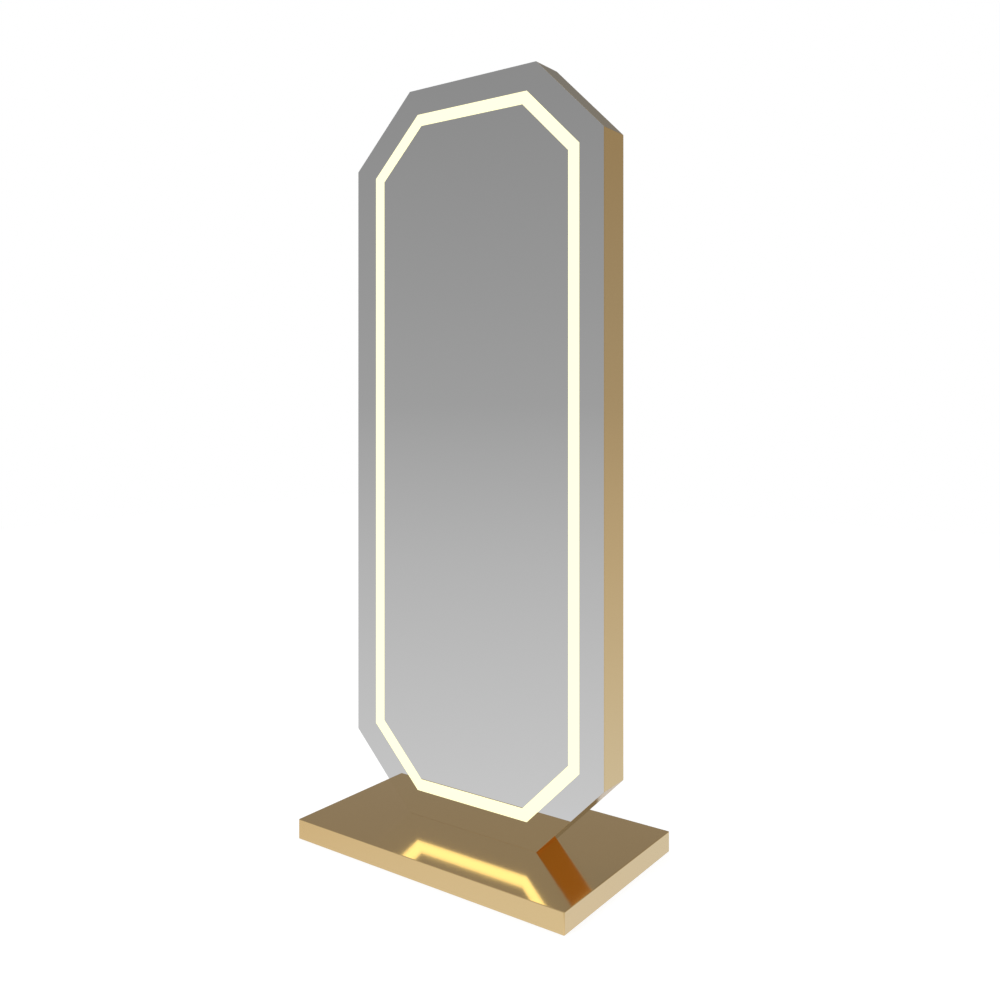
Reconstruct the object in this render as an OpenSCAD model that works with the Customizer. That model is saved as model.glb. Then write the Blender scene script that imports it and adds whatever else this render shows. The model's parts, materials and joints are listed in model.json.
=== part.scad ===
// Freestanding salon mirror: an eight-sided mirror with a lit band, in a polished gold
// steel casing that stands on a gold-clad slab base.
// The mirror faces -Y and +Z is up. The origin is on the floor, in the middle of the base.

/* [Mirror panel] */
// Height of the mirror panel, which stands on the base
panel_h = 1800; // [1500:10:2000]
// Width of the mirror panel
panel_w = 733; // [680:1:850]
// Depth of the panel, from the mirror face to the outside of the back cover
panel_t = 90; // [84:1:110]
// Length that each 45 degree corner takes off the sides of the panel
corner_leg = 177; // [140:1:195]
// Thickness of the mirror glass
glass_t = 5; // [4:0.5:6]
// Distance from the outside of the casing to the edge of the glass that covers its front
glass_set = 0.3; // [0.2:0.1:1]
// Thickness of the board behind the glass
board_t = 18; // [16:1:20]

/* [Gold casing] */
// Thickness of the gold steel sheet of the casing and the base
sheet_t = 1.5; // [1:0.1:2]
// Width of the flange inside the casing's rear edge
flange_w = 16; // [14:1:22]
// Gap between the casing and what it wraps
casing_gap = 0.5; // [0.3:0.1:0.8]

/* [Light band] */
// Distance from the edge of the panel to the light band
band_inset = 62.5; // [50:0.5:85]
// Width of the light band, as seen in the mirror
band_w = 28.5; // [22:0.5:40]
// Gap between the light diffuser and the glass on each side of it
joint_gap = 0.2; // [0.1:0.1:0.4]
// Width of the diffuser's hidden lip behind the glass
lip_w = 4; // [3:0.5:6]
// Thickness of that lip
lip_t = 3; // [2:0.5:4]
// Depth of the groove for the light, routed in the board
groove_d = 13; // [12:0.5:14]
// Gap between the light channel and the sides of its groove
groove_gap = 0.5; // [0.3:0.1:0.8]
// Wall of the aluminium light channel
channel_wall = 1.2; // [1:0.1:1.6]
// Width of the light strip
strip_w = 12; // [8:1:16]
// Thickness of the light strip
strip_t = 1.2; // [0.8:0.1:1.6]
// Distance between the light chips on the strip
chip_pitch = 50; // [40:5:100]
// Side of a square light chip
chip_w = 5; // [3:0.5:6]
// Height of a light chip above its strip
chip_t = 1.6; // [1:0.1:2]
// Length that each strip stops short of the corner
strip_end = 6; // [4:1:12]
// Radius of the holes in the board for the leads
lead_hole_r = 5; // [4:0.5:6]
// Radius of the leads' insulation
lead_r = 1.2; // [1:0.1:1.5]
// Radius of the leads' bends, along their middle
lead_bend = 2; // [1.5:0.1:2.4]

/* [Inner steel frame] */
// Side of the square tube of the inner frame
tube_w = 25; // [20:1:30]
// Wall of that tube
tube_wall = 2; // [1.5:0.1:3]
// Root gap of the frame's mitred and welded corners
mitre_gap = 0.3; // [0.2:0.1:0.6]
// Width of each upright, seen from the front
upright_w = 30; // [25:1:40]
// Depth of each upright
upright_d = 50; // [40:1:53]
// Wall of the uprights
upright_wall = 2.5; // [2:0.1:4]
// Distance between the middles of the two uprights
upright_pitch = 240; // [220:5:260]
// Thickness of the foot plate under the uprights
foot_plate_t = 8; // [6:0.5:12]
// Height of the lowest cross rail's middle above the base
first_rail_z = 160; // [150:5:180]
// Distance between the two cross rails that carry the light driver
driver_rail_pitch = 220; // [205:5:250]
// Distance between the side arms, and the cross rails in line with them
arm_pitch = 520; // [400:10:600]
// How far the long screws reach into the board
board_screw_bite = 12; // [9:0.5:13]

/* [Tie bolts] */
// Radius of the tie bolts between mirror and base
bolt_r = 5; // [4:0.5:6]
// Distance from each end of the foot plate to the outer bolt columns
bolt_edge = 27.5; // [22.5:0.5:32.5]
// Distance between the two bolt rows across the base
bolt_pitch_y = 34; // [28:1:36]
// Width across flats of the bolt heads
bolt_head_af = 17; // [15:0.5:19]
// Height of the bolt heads
bolt_head_t = 6.4; // [5:0.2:8]
// Radius of the washers under the bolt heads
washer_r = 10.5; // [9.5:0.5:12]
// Thickness of those washers
washer_t = 2; // [1.5:0.1:2.5]
// Gap around a bolt in a clearance hole
bolt_clear = 0.5; // [0.3:0.1:1]
// Gap around a thread in its tapped hole
thread_clear = 0.05; // [0.03:0.01:0.1]

/* [Back cover] */
// Thickness of the back cover
cover_t = 1.5; // [1:0.1:2]
// Distance from the edge of the casing to the edge of the cover
cover_inset = 3; // [2:0.5:5]
// Longest distance between the cover's screws
screw_pitch = 180; // [120:5:240]
// Radius of the cover screws
screw_r = 2; // [1.5:0.1:2.5]
// Radius of their heads
screw_head_r = 4; // [3.5:0.1:5]
// Height of their heads
screw_head_t = 2.4; // [2:0.1:3]
// Length of their shanks
screw_len = 9; // [8:1:12]
// Gap around a screw in a clearance hole
screw_clear = 0.3; // [0.2:0.1:0.5]
// Length of a vent slot
vent_len = 70; // [40:1:90]
// Width of a vent slot
vent_w = 4; // [3:0.5:6]
// Distance between vent slots
vent_pitch = 11; // [9:0.5:14]
// Number of slots in a group of vents
vent_count = 7; // [4:1:9]
// Height of the lower group of vents above the base
vent_low_z = 480; // [440:10:520]
// Distance from the top of the panel to the upper group of vents
vent_top_drop = 230; // [180:10:300]

/* [Light driver] */
// Length of the light driver
driver_l = 165; // [140:1:175]
// Width of the light driver
driver_w = 60; // [45:1:66]
// Depth of the light driver
driver_t = 30; // [22:1:31]
// Length of the mounting ear at each end of the driver
ear_l = 12; // [10:1:14]
// Thickness of the mounting ears
ear_t = 4; // [3:0.5:6]
// Thickness of the plate that carries the driver
driver_plate_t = 2; // [1.5:0.1:2.5]
// Width of that plate
driver_plate_w = 150; // [148:1:180]
// Height of the folded edges of that plate
driver_plate_edge = 10; // [8:0.5:14]
// Distance from the edge of that plate to its screws
plate_screw_inset = 12; // [10:0.5:14]
// Length of the terminal block beside the driver
terminal_l = 42; // [34:1:50]
// Width of the terminal block
terminal_w = 20; // [16:1:22]
// Height of the terminal block
terminal_t = 16; // [14:0.5:18]
// Height of the middle of the lead entries above the foot of the terminal block
entry_rise = 5.5; // [5:0.5:6]
// Gap between the terminal block and the folded edge of the plate
terminal_gap = 4; // [3.5:0.5:5]

/* [Rocker switch and cable gland] */
// Height of the switch and the gland above the base
service_z = 90; // [75:1:110]
// Distance between the switch and the gland
service_pitch = 100; // [60:1:130]
// Width of the switch's bezel
bezel_w = 15; // [15:0.5:17]
// Height of the switch's bezel
bezel_h = 21; // [21:0.5:24]
// Thickness of the bezel
bezel_t = 2; // [1.5:0.1:2.5]
// Width of the switch body behind the cover
switch_w = 13; // [12.5:0.1:14]
// Height of the switch body
switch_h = 19; // [18.8:0.1:20]
// Depth of the switch body behind the cover
switch_d = 13; // [11:0.5:16]
// Thickness of the switch body behind its rocker
switch_floor = 4; // [3:0.5:5]
// Wall of the switch body
switch_wall = 1; // [0.9:0.1:1.1]
// Gap around the switch body in its cut-out
cutout_gap = 0.2; // [0.1:0.1:0.4]
// Gap between the rocker and its housing
rocker_gap = 0.3; // [0.2:0.1:0.4]
// Tilt of the rocker each way from its middle position
rocker_tilt = 10; // [8:1:12]
// Height of the rocker's middle above the bezel
rocker_rise = 1; // [0.6:0.1:1.4]
// Depth of the rocker's pivot below the face of the bezel
pivot_sink = 1.5; // [1.3:0.1:2]
// How far the rocker reaches behind its pivot
rocker_depth = 4; // [3:0.5:5]
// Radius of the rocker's pivot pins
pivot_r = 1.2; // [1:0.1:1.4]
// Running gap of the pivot pins
pivot_gap = 0.05; // [0.03:0.01:0.08]
// Distance between the terminal blades of the switch
blade_pitch = 5.6; // [5:0.1:6]
// Width of a terminal blade of the switch
blade_w = 4.8; // [3:0.2:5]
// Thickness of a terminal blade
blade_t = 0.8; // [0.6:0.1:1]
// Length of a terminal blade
blade_l = 8; // [7:0.5:10]
// Wall of the sleeves on the blades
sleeve_wall = 1; // [0.8:0.1:1.2]
// Radius of the gland's thread
gland_r = 8; // [7:0.5:9]
// Width across flats of the gland's nuts
gland_af = 22; // [20.5:0.5:26]
// Radius of the way for a cable through the gland's seal
cable_r = 3.6; // [3:0.1:4]
// Gap around the cable in the bore of the gland
cable_clear = 1; // [0.6:0.1:1.2]
// Wall of the gland round its seal
gland_wall = 1.6; // [1.2:0.1:1.8]
// Gap around the gland's thread in the cover
gland_gap = 0.2; // [0.1:0.1:0.3]
// Thickness of the gland's flange
gland_flange_t = 4; // [3:0.5:6]
// Thickness of the gland's locknut
locknut_t = 5; // [4:0.5:6]
// Length of the gland's seal
seal_l = 8; // [6:0.5:10]
// How much longer than the seal the gland's nut is
gland_dome = 5; // [4:0.5:7]

/* [Base] */
// How far the base reaches past each side of the panel
base_reach = 18.5; // [15:0.5:60]
// Depth of the base, front to back
base_d = 470; // [400:10:560]
// Height of the rubber feet
foot_h = 6; // [4:0.5:8]
// Radius of the rubber feet
foot_r = 22; // [16:1:28]
// Distance from the edges of the base to the middles of the feet
foot_inset = 50; // [40:1:70]
// Gap between the floor and the gold skirt of the base
skirt_gap = 1; // [1:0.5:3]
// Thickness of the closing plate under the base
underplate_t = 1.5; // [1:0.1:2]
// Gap between that plate and the inside of the skirt
underplate_gap = 1; // [0.5:0.1:2]
// Thickness of the steel ballast plate
ballast_t = 12; // [8:1:20]
// Room for a socket wrench round the bolt washers
wrench_gap = 2; // [1.5:0.5:4]
// Gap between the skirt and the frame and ballast inside it
core_gap = 12; // [5:1:20]
// Side of the square tube of the base frame
base_tube_w = 25; // [22:1:40]
// Distance from the outer bolt columns to the middles of the base's cross tubes
cross_edge = 50; // [40:1:70]
// Thickness of the plate that the tie bolts pull on
tie_plate_t = 10; // [8:0.5:12]
// Width of that plate across the base
tie_plate_d = 160; // [120:5:200]
// Thickness of the foam pad under the gold top
pad_t = 2; // [1:0.5:3]
// Radius of the foot screws
foot_screw_r = 2.5; // [2:0.1:3]
// Radius of the foot screws' heads
foot_screw_head_r = 4.8; // [4:0.1:6]
// Thickness of ballast left over the foot screws' ends
foot_screw_cover = 2; // [1:0.5:4]

/* [Hidden] */

$fn = 48;

// How far a cut runs past the face that it opens
over = 1;

// Heights of the base's layers, from the floor up
underplate_z = foot_h;
ballast_z = underplate_z + underplate_t;
base_frame_z = ballast_z + ballast_t;
pad_z = base_frame_z + base_tube_w;
base_top = pad_z + pad_t + sheet_t;
tie_plate_z = pad_z - tie_plate_t;
base_w = panel_w + 2 * base_reach;
core_w = base_w - 2 * (sheet_t + core_gap);
core_d = base_d - 2 * (sheet_t + core_gap);

// Depths of the panel's layers, from the mirror face back
face_y = -panel_t / 2;
board_y = face_y + glass_t;
frame_y = board_y + board_t;
groove_y = board_y + groove_d;
cover_y = panel_t / 2 - cover_t;
flange_y = cover_y - sheet_t;
inner_inset = sheet_t + casing_gap;

// Outer and inner insets of the light channel and the lips of the diffuser
channel_out = band_inset - lip_w;
channel_in = band_inset + band_w + lip_w;
channel_w = channel_in - channel_out;
channel_t = groove_d - lip_t;
channel_floor_y = groove_y - channel_wall;
band_mid = band_inset + band_w / 2;

// Places of the inner frame
foot_plate_z = base_top + sheet_t;
foot_plate_top = foot_plate_z + foot_plate_t;
foot_plate_w = panel_w - 2 * corner_leg - 2 * inner_inset;
foot_plate_d = panel_t / 2 - screw_len - casing_gap - frame_y;
foot_plate_y = frame_y + foot_plate_d / 2;
frame_top = base_top + panel_h - inner_inset - tube_w;
frame_side = panel_w / 2 - inner_inset - tube_w;
first_arm_z = first_rail_z + driver_rail_pitch;
arm_count = 1 + floor((panel_h - corner_leg - tube_w - first_arm_z) / arm_pitch);
arm_heights = [for (i = [0 : arm_count - 1]) first_arm_z + i * arm_pitch];
rail_heights = concat([first_rail_z], arm_heights);

// Tie bolts: three columns of two, between the base's cross tubes
bolt_pitch_x = foot_plate_w / 2 - bolt_edge;
cross_pitch = 2 * (bolt_pitch_x + cross_edge);
bolt_places = [
    for (x = [-1 : 1], y = [-1, 1])
    [x * bolt_pitch_x, foot_plate_y + y * bolt_pitch_y / 2]
];
bolt_len = foot_plate_top - tie_plate_z;

// The plate behind the driver reaches over both of its rails
driver_z = base_top + first_rail_z + driver_rail_pitch / 2;
driver_plate_h = driver_rail_pitch + tube_w;
driver_plate_y = frame_y + tube_w;
driver_y = driver_plate_y + driver_plate_t;
driver_x = driver_plate_w / 2 - driver_plate_t - driver_w / 2;
terminal_x = terminal_w / 2 + terminal_gap + driver_plate_t - driver_plate_w / 2;
plate_screw_x = driver_plate_w / 2 - plate_screw_inset;
board_screw_len = tube_w + board_screw_bite;
driver_end = driver_l / 2 - ear_l;
pole_pitch = terminal_l / 3;
pole_y = driver_y + entry_rise;
lead_step = 2 * lead_r + over;
lead_side_x = terminal_x + terminal_w / 2 + lead_bend + over;

// Switch and gland on the back cover
switch_x = -service_pitch / 2;
gland_x = service_pitch / 2;
service_y = panel_t / 2;
pocket_w = switch_w - 2 * switch_wall;
pocket_h = switch_h - 2 * switch_wall;
pocket_d = switch_d - switch_floor;
rocker_w = pocket_w - 2 * rocker_gap;
rocker_r = pocket_h / 2 - rocker_gap;
pivot_y = bezel_t - pivot_sink;
pivot_len = pocket_w + 1.4 * switch_wall;
gland_bore_r = cable_r + cable_clear;
gland_seat_r = gland_r - gland_wall;
gland_nut_l = seal_l + gland_dome;

foot_places = [
    for (x = [-1 : 1], y = [-1, 1])
    [x * (base_w / 2 - foot_inset), y * (base_d / 2 - foot_inset)]
];

gold = "#d9b26b";
mirror_grey = "#b9bcbf";
cream = "#fffbe0";
board_brown = "#a98256";
steel_grey = "#7d8288";
zinc = "#c3c6c8";
aluminium_grey = "#d3d5d8";
black = "#232425";
white = "#efefec";
brass_yellow = "#c9a548";
lead_brown = "#7a4a2c";
lead_blue = "#3f6fa8";
lead_red = "#a83a32";

// Corners of the panel's outline, inset all round by d, from the lower right upwards
function octagon(d) =
    let (
        a = panel_w / 2 - d,
        leg = corner_leg - d * (2 - sqrt(2)),
        low = d,
        high = panel_h - d
    )
    [
        [a, low + leg], [a, high - leg], [a - leg, high], [leg - a, high],
        [-a, high - leg], [-a, low + leg], [leg - a, low], [a - leg, low]
    ];

// Direction in which the corner mitre number i points, in degrees
function mitre_angle(i) = 45 * i - 22.5;

// Direction that side number i faces, in degrees
function side_angle(i) = 45 * i;

// Points at even steps of at most pitch along each side of the outline at inset d
function side_points(d, pitch) =
    let (p = octagon(d))
    [
        for (i = [0 : 7])
        let (
            a = p[i],
            b = p[(i + 1) % 8],
            n = max(1, round(norm(b - a) / pitch))
        )
        for (k = [0 : n - 1]) a + (b - a) * (k + 0.5) / n
    ];

// An outline in the plane of the mirror, t thick, whose front is at y
module upright_sheet(y, t) {
    translate([0, y + t, base_top]) rotate([90, 0, 0]) linear_extrude(t) children();
}

// A round bar or hole along Y from y to y + l, at x and at height z above the base
module bar_y(x, y, z, r, l) {
    translate([x, y, base_top + z]) rotate([-90, 0, 0]) cylinder(r = r, h = l);
}

// An eight-sided ring from inset a in to inset b
module ring_2d(a, b) {
    difference() {
        polygon(octagon(a));
        polygon(octagon(b));
    }
}

// One side of such a ring, mitred at both ends
module side_2d(i, a, b) {
    o = octagon(a);
    n = octagon(b);
    polygon([o[i], o[(i + 1) % 8], n[(i + 1) % 8], n[i]]);
}

// Slits that part the ring's sides at their mitres
module mitre_cuts(d, w, gap) {
    p = octagon(d);
    for (i = [0 : 7])
        translate(p[i]) rotate(mitre_angle(i)) square([3 * w, gap], center = true);
}

// Pan-head screw with a hexagon socket, its head's seat at the origin, pointing down
module pan_screw(r, l, head_r, head_t) {
    difference() {
        union() {
            translate([0, 0, -l]) cylinder(r = r, h = l);
            rotate_extrude()
                polygon([[0, 0], [head_r, 0], [head_r, 0.5 * head_t],
                    [0.75 * head_r, head_t], [0, head_t]]);
        }
        translate([0, 0, 0.45 * head_t]) cylinder(r = 0.5 * head_r, h = head_t, $fn = 6);
    }
}

// Steel tube of square or oblong section, w by d outside and h long, open at both ends
module tube(w, d, h, wall) {
    difference() {
        translate([-w / 2, -d / 2, 0]) cube([w, d, h]);
        translate([wall - w / 2, wall - d / 2, -over])
            cube([w - 2 * wall, d - 2 * wall, h + 2 * over]);
    }
}

// The same tube lying along X from x0 to x1, its back at y and its middle at height z
module tube_x(x0, x1, y, z) {
    translate([x0, y + tube_w / 2, base_top + z]) rotate([0, 90, 0])
        tube(tube_w, tube_w, x1 - x0, tube_wall);
}

module bolt_holes_2d(r) {
    for (p = bolt_places) translate(p) circle(r = r);
}

module hexagon(af, h) {
    cylinder(r = af / sqrt(3), h = h, $fn = 6);
}

// Polished gold sheet folded round the panel, from the back of the glass to the rear cover
module casing_wrap() {
    color(gold) difference() {
        upright_sheet(board_y, cover_y - board_y) ring_2d(0, sheet_t);
        translate([0, 0, base_top - over]) linear_extrude(sheet_t + 2 * over)
            bolt_holes_2d(bolt_r + bolt_clear);
    }
}

// Flange welded inside the casing's rear edge, which takes the screws of the rear cover
module casing_flange() {
    color(gold) difference() {
        upright_sheet(flange_y, sheet_t) ring_2d(sheet_t, sheet_t + flange_w);
        for (p = side_points(cover_inset + flange_w / 2, screw_pitch))
            bar_y(p[0], flange_y - over, p[1], screw_r + thread_clear, sheet_t + 2 * over);
    }
}

// Border of the mirror, outside the light band, which covers the casing's front edge
module mirror_surround() {
    color(mirror_grey) upright_sheet(face_y, glass_t)
        ring_2d(glass_set, band_inset - joint_gap);
}

// Middle of the mirror, inside the light band
module mirror_centre() {
    color(mirror_grey) upright_sheet(face_y, glass_t)
        polygon(octagon(band_inset + band_w + joint_gap));
}

// Opal strip that lies flush with the glass, with lips behind the glass edges
module light_diffuser() {
    color(cream) {
        upright_sheet(face_y, glass_t + lip_t)
            ring_2d(band_inset, band_inset + band_w);
        upright_sheet(board_y, lip_t) ring_2d(channel_out, band_inset);
        upright_sheet(board_y, lip_t) ring_2d(band_inset + band_w, channel_in);
    }
}

// Board behind the glass, with the groove for the light and holes for its leads
module backing_board() {
    color(board_brown) difference() {
        upright_sheet(board_y, board_t) polygon(octagon(inner_inset));
        upright_sheet(board_y - over, groove_d + over)
            ring_2d(channel_out - groove_gap, channel_in + groove_gap);
        for (x = [-1, 1])
            bar_y(x * upright_pitch / 4, board_y, band_mid, lead_hole_r, board_t + over);
        for (p = side_points(inner_inset + tube_w / 2, 2 * screw_pitch))
            if (p[1] > tube_w)
                bar_y(p[0], frame_y + tube_w - board_screw_len, p[1],
                    screw_r + thread_clear, board_screw_len);
    }
}

// Aluminium channels for the light, one mitred length to each side
module light_channels() {
    color(aluminium_grey) for (i = [0 : 7]) difference() {
        upright_sheet(board_y + lip_t, channel_t) side_2d(i, channel_out, channel_in);
        upright_sheet(board_y + lip_t - over, channel_t - channel_wall + over)
            side_2d(i, channel_out + channel_wall, channel_in - channel_wall);
        upright_sheet(board_y, board_t) mitre_cuts(channel_out, channel_w, mitre_gap);
        for (x = [-1, 1])
            bar_y(x * upright_pitch / 4, board_y, band_mid, lead_hole_r - 1, board_t);
    }
}

// Light strips on the floors of the channels, with their row of chips
module light_strips() {
    strip_y = channel_floor_y - strip_t;
    p = octagon(band_mid);
    color(white) for (i = [0 : 7]) {
        a = p[i];
        b = p[(i + 1) % 8];
        length = norm(b - a) - 2 * strip_end;
        n = floor(length / chip_pitch);
        translate([(a[0] + b[0]) / 2, strip_y, base_top + (a[1] + b[1]) / 2])
            rotate([0, 90 - side_angle(i), 0]) {
                translate([-length / 2, 0, -strip_w / 2]) cube([length, strip_t, strip_w]);
                for (k = [0 : n - 1])
                    translate([(k + 0.5 - n / 2) * chip_pitch - chip_w / 2, -chip_t, -chip_w / 2])
                        cube([chip_w, chip_t + strip_t / 2, chip_w]);
            }
    }
}

// Square tubes that back the casing all round, cut to stand on the foot plate
module perimeter_frame() {
    color(steel_grey) for (i = [0, 1, 2, 3, 4, 5, 7]) difference() {
        upright_sheet(frame_y, tube_w) side_2d(i, inner_inset, inner_inset + tube_w);
        upright_sheet(frame_y + tube_wall, tube_w - 2 * tube_wall)
            side_2d(i, inner_inset + tube_wall, inner_inset + tube_w - tube_wall);
        upright_sheet(frame_y - over, tube_w + 2 * over)
            mitre_cuts(inner_inset, tube_w, mitre_gap);
        translate([-panel_w / 2, frame_y - over, base_top - over])
            cube([panel_w, tube_w + 2 * over, foot_plate_top - base_top + over]);
        for (p = side_points(inner_inset + tube_w / 2, 2 * screw_pitch))
            bar_y(p[0], frame_y - over, p[1], screw_r + screw_clear, tube_w + 2 * over);
    }
}

// Two tubes that carry the panel, from the foot plate to the top of the frame
module uprights() {
    color(steel_grey) for (x = [-1, 1])
        translate([x * upright_pitch / 2, frame_y + upright_d / 2, foot_plate_top])
            tube(upright_w, upright_d, frame_top - foot_plate_top, upright_wall);
}

// Rails between the uprights
module cross_rails() {
    x = (upright_pitch - upright_w) / 2;
    color(steel_grey) difference() {
        for (z = rail_heights) tube_x(-x, x, frame_y, z);
        for (sx = [-1, 1], sz = [0, 1])
            bar_y(sx * plate_screw_x, frame_y + tube_w - 2 * tube_wall,
                first_rail_z + sz * driver_rail_pitch, screw_r + thread_clear,
                2 * tube_wall + over);
    }
}

// Arms from the uprights out to the sides of the frame
module side_arms() {
    x = (upright_pitch + upright_w) / 2;
    color(steel_grey) for (z = arm_heights) {
        tube_x(x, frame_side, frame_y, z);
        tube_x(-frame_side, -x, frame_y, z);
    }
}

// Tapped plate in the bottom of the casing, welded under the uprights
module foot_plate() {
    color(steel_grey) translate([0, 0, foot_plate_z]) linear_extrude(foot_plate_t)
        difference() {
            translate([-foot_plate_w / 2, frame_y]) square([foot_plate_w, foot_plate_d]);
            bolt_holes_2d(bolt_r + thread_clear);
        }
}

// Long screws through the frame's tubes into the board
module board_screws() {
    color(zinc) for (p = side_points(inner_inset + tube_w / 2, 2 * screw_pitch))
        if (p[1] > tube_w)
            translate([p[0], frame_y + tube_w, base_top + p[1]]) rotate([-90, 0, 0])
                pan_screw(screw_r, board_screw_len, screw_head_r, screw_head_t);
}

// One vent slot with round ends
module vent_2d() {
    square([vent_len - vent_w, vent_w], center = true);
    for (x = [-1, 1]) translate([x * (vent_len - vent_w) / 2, 0]) circle(d = vent_w);
}

// A stack of vent slots round the height z above the base
module vent_group_2d(z) {
    for (i = [0 : vent_count - 1])
        translate([0, z + (i - (vent_count - 1) / 2) * vent_pitch]) vent_2d();
}

// Black steel cover that closes the back, with vents, switch cut-out and gland hole
module back_cover() {
    color(black) upright_sheet(cover_y, cover_t) difference() {
        polygon(octagon(cover_inset));
        for (p = side_points(cover_inset + flange_w / 2, screw_pitch))
            translate(p) circle(r = screw_r + screw_clear);
        vent_group_2d(vent_low_z);
        vent_group_2d(panel_h - vent_top_drop);
        translate([gland_x, service_z]) circle(r = gland_r + gland_gap);
        translate([switch_x, service_z])
            square([switch_w + 2 * cutout_gap, switch_h + 2 * cutout_gap], center = true);
    }
}

// Screws round the edge of the back cover
module cover_screws() {
    color(zinc) for (p = side_points(cover_inset + flange_w / 2, screw_pitch))
        translate([p[0], panel_t / 2, base_top + p[1]]) rotate([-90, 0, 0])
            pan_screw(screw_r, screw_len, screw_head_r, screw_head_t);
}

// Plate across the two lower rails, with its edges folded back for stiffness
module driver_plate() {
    color(zinc) difference() {
        union() {
            translate([-driver_plate_w / 2, driver_plate_y, driver_z - driver_plate_h / 2])
                cube([driver_plate_w, driver_plate_t, driver_plate_h]);
            for (x = [-1, 1])
                translate([x * (driver_plate_w - driver_plate_t) / 2 - driver_plate_t / 2,
                    driver_plate_y, driver_z - driver_plate_h / 2])
                    cube([driver_plate_t, driver_plate_edge, driver_plate_h]);
        }
        for (sx = [-1, 1], sz = [0, 1])
            bar_y(sx * plate_screw_x, driver_plate_y - over,
                first_rail_z + sz * driver_rail_pitch, screw_r + screw_clear,
                driver_plate_t + 2 * over);
        for (z = [-1, 1])
            bar_y(driver_x, driver_plate_y - over,
                driver_z - base_top + z * (driver_l - ear_l) / 2,
                screw_r + thread_clear, driver_plate_t + 2 * over);
    }
}

// Screws that hold the driver plate on its rails
module driver_plate_screws() {
    color(zinc) for (sx = [-1, 1], sz = [0, 1])
        translate([sx * plate_screw_x, driver_y, base_top + first_rail_z + sz * driver_rail_pitch])
            rotate([-90, 0, 0])
                pan_screw(screw_r, driver_plate_t + tube_wall + 1, screw_head_r, screw_head_t);
}

// Sealed light driver with a screw ear at each end
module light_driver() {
    rib_pitch = driver_w / 8;
    groove_w = 2;
    rib_end = 12;
    color(white) difference() {
        union() {
            translate([driver_x - driver_w / 2, driver_y, driver_z - driver_end])
                cube([driver_w, driver_t, 2 * driver_end]);
            translate([driver_x - driver_w / 4, driver_y, driver_z - driver_l / 2])
                cube([driver_w / 2, ear_t, driver_l]);
        }
        for (z = [-1, 1])
            bar_y(driver_x, driver_y - over, driver_z - base_top + z * (driver_l - ear_l) / 2,
                screw_r + screw_clear, ear_t + 2 * over);
        for (i = [-3 : 3])
            translate([driver_x + i * rib_pitch - groove_w / 2, driver_y + driver_t - groove_w / 2,
                driver_z - driver_end + rib_end])
                cube([groove_w, groove_w, 2 * (driver_end - rib_end)]);
    }
}

// Screws in the driver's ears
module driver_screws() {
    color(zinc) for (z = [-1, 1])
        translate([driver_x, driver_y + ear_t, driver_z + z * (driver_l - ear_l) / 2])
            rotate([-90, 0, 0])
                pan_screw(screw_r, ear_t + driver_plate_t, screw_head_r, screw_head_t);
}

// Three-pole terminal block beside the driver
module terminal_block() {
    entry_r = lead_r + 0.8;
    screw_way = 6;
    groove = 4;
    color(white) translate([terminal_x, driver_y, driver_z]) difference() {
        translate([-terminal_w / 2, 0, -terminal_l / 2])
            cube([terminal_w, terminal_t, terminal_l]);
        for (i = [-1 : 1]) {
            translate([0, terminal_t - screw_way, i * pole_pitch]) rotate([-90, 0, 0])
                cylinder(r = entry_r, h = screw_way + over);
            translate([-terminal_w / 2 - over, pole_y - driver_y, i * pole_pitch])
                rotate([0, 90, 0]) cylinder(r = entry_r, h = terminal_w / 3 + over);
            translate([terminal_w / 6, pole_y - driver_y, i * pole_pitch])
                rotate([0, 90, 0]) cylinder(r = entry_r, h = terminal_w / 3 + over);
        }
        for (i = [-1, 1])
            translate([-terminal_w / 2 - over, terminal_t - groove, (i * pole_pitch - 1) / 2])
                cube([terminal_w + 2 * over, groove + over, 1]);
    }
}

// Places a piece of the switch, its middle on the outside of the cover
module at_switch() {
    translate([switch_x, service_y, base_top + service_z]) children();
}

// Switch housing: bezel outside, body through the cover, open for the rocker
module switch_body() {
    color(black) at_switch() difference() {
        union() {
            translate([-bezel_w / 2, 0, -bezel_h / 2]) cube([bezel_w, bezel_t, bezel_h]);
            translate([-switch_w / 2, -switch_d, -switch_h / 2])
                cube([switch_w, switch_d + bezel_t, switch_h]);
        }
        translate([-pocket_w / 2, bezel_t - pocket_d, -pocket_h / 2])
            cube([pocket_w, pocket_d + over, pocket_h]);
        translate([-pivot_len / 2, pivot_y, 0]) rotate([0, 90, 0])
            cylinder(r = pivot_r + pivot_gap, h = pivot_len);
        for (i = [-1 : 1])
            translate([-blade_w / 2, -switch_d - over, i * blade_pitch - blade_t / 2])
                cube([blade_w, switch_floor / 2 + over, blade_t]);
    }
}

// Side view of the rocker about its pivot, outwards along X: round ends, hollowed face
module rocker_2d() {
    top = bezel_t + rocker_rise - pivot_y;
    rise = rocker_r * tan(rocker_tilt);
    intersection() {
        circle(r = rocker_r);
        polygon([[-rocker_depth, -rocker_r], [top + rise, -rocker_r], [top, 0],
            [top + rise, rocker_r], [-rocker_depth, rocker_r]]);
    }
}

// Rocker, pressed in at the top for on, with its pivot pins
module switch_rocker() {
    color(black) at_switch() translate([0, pivot_y, 0]) rotate([rocker_tilt, 0, 0]) {
        translate([-rocker_w / 2, 0, 0]) rotate([90, 0, 90])
            linear_extrude(rocker_w) rocker_2d();
        translate([pivot_gap - pivot_len / 2, 0, 0]) rotate([0, 90, 0])
            cylinder(r = pivot_r, h = pivot_len - 2 * pivot_gap);
    }
}

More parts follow.
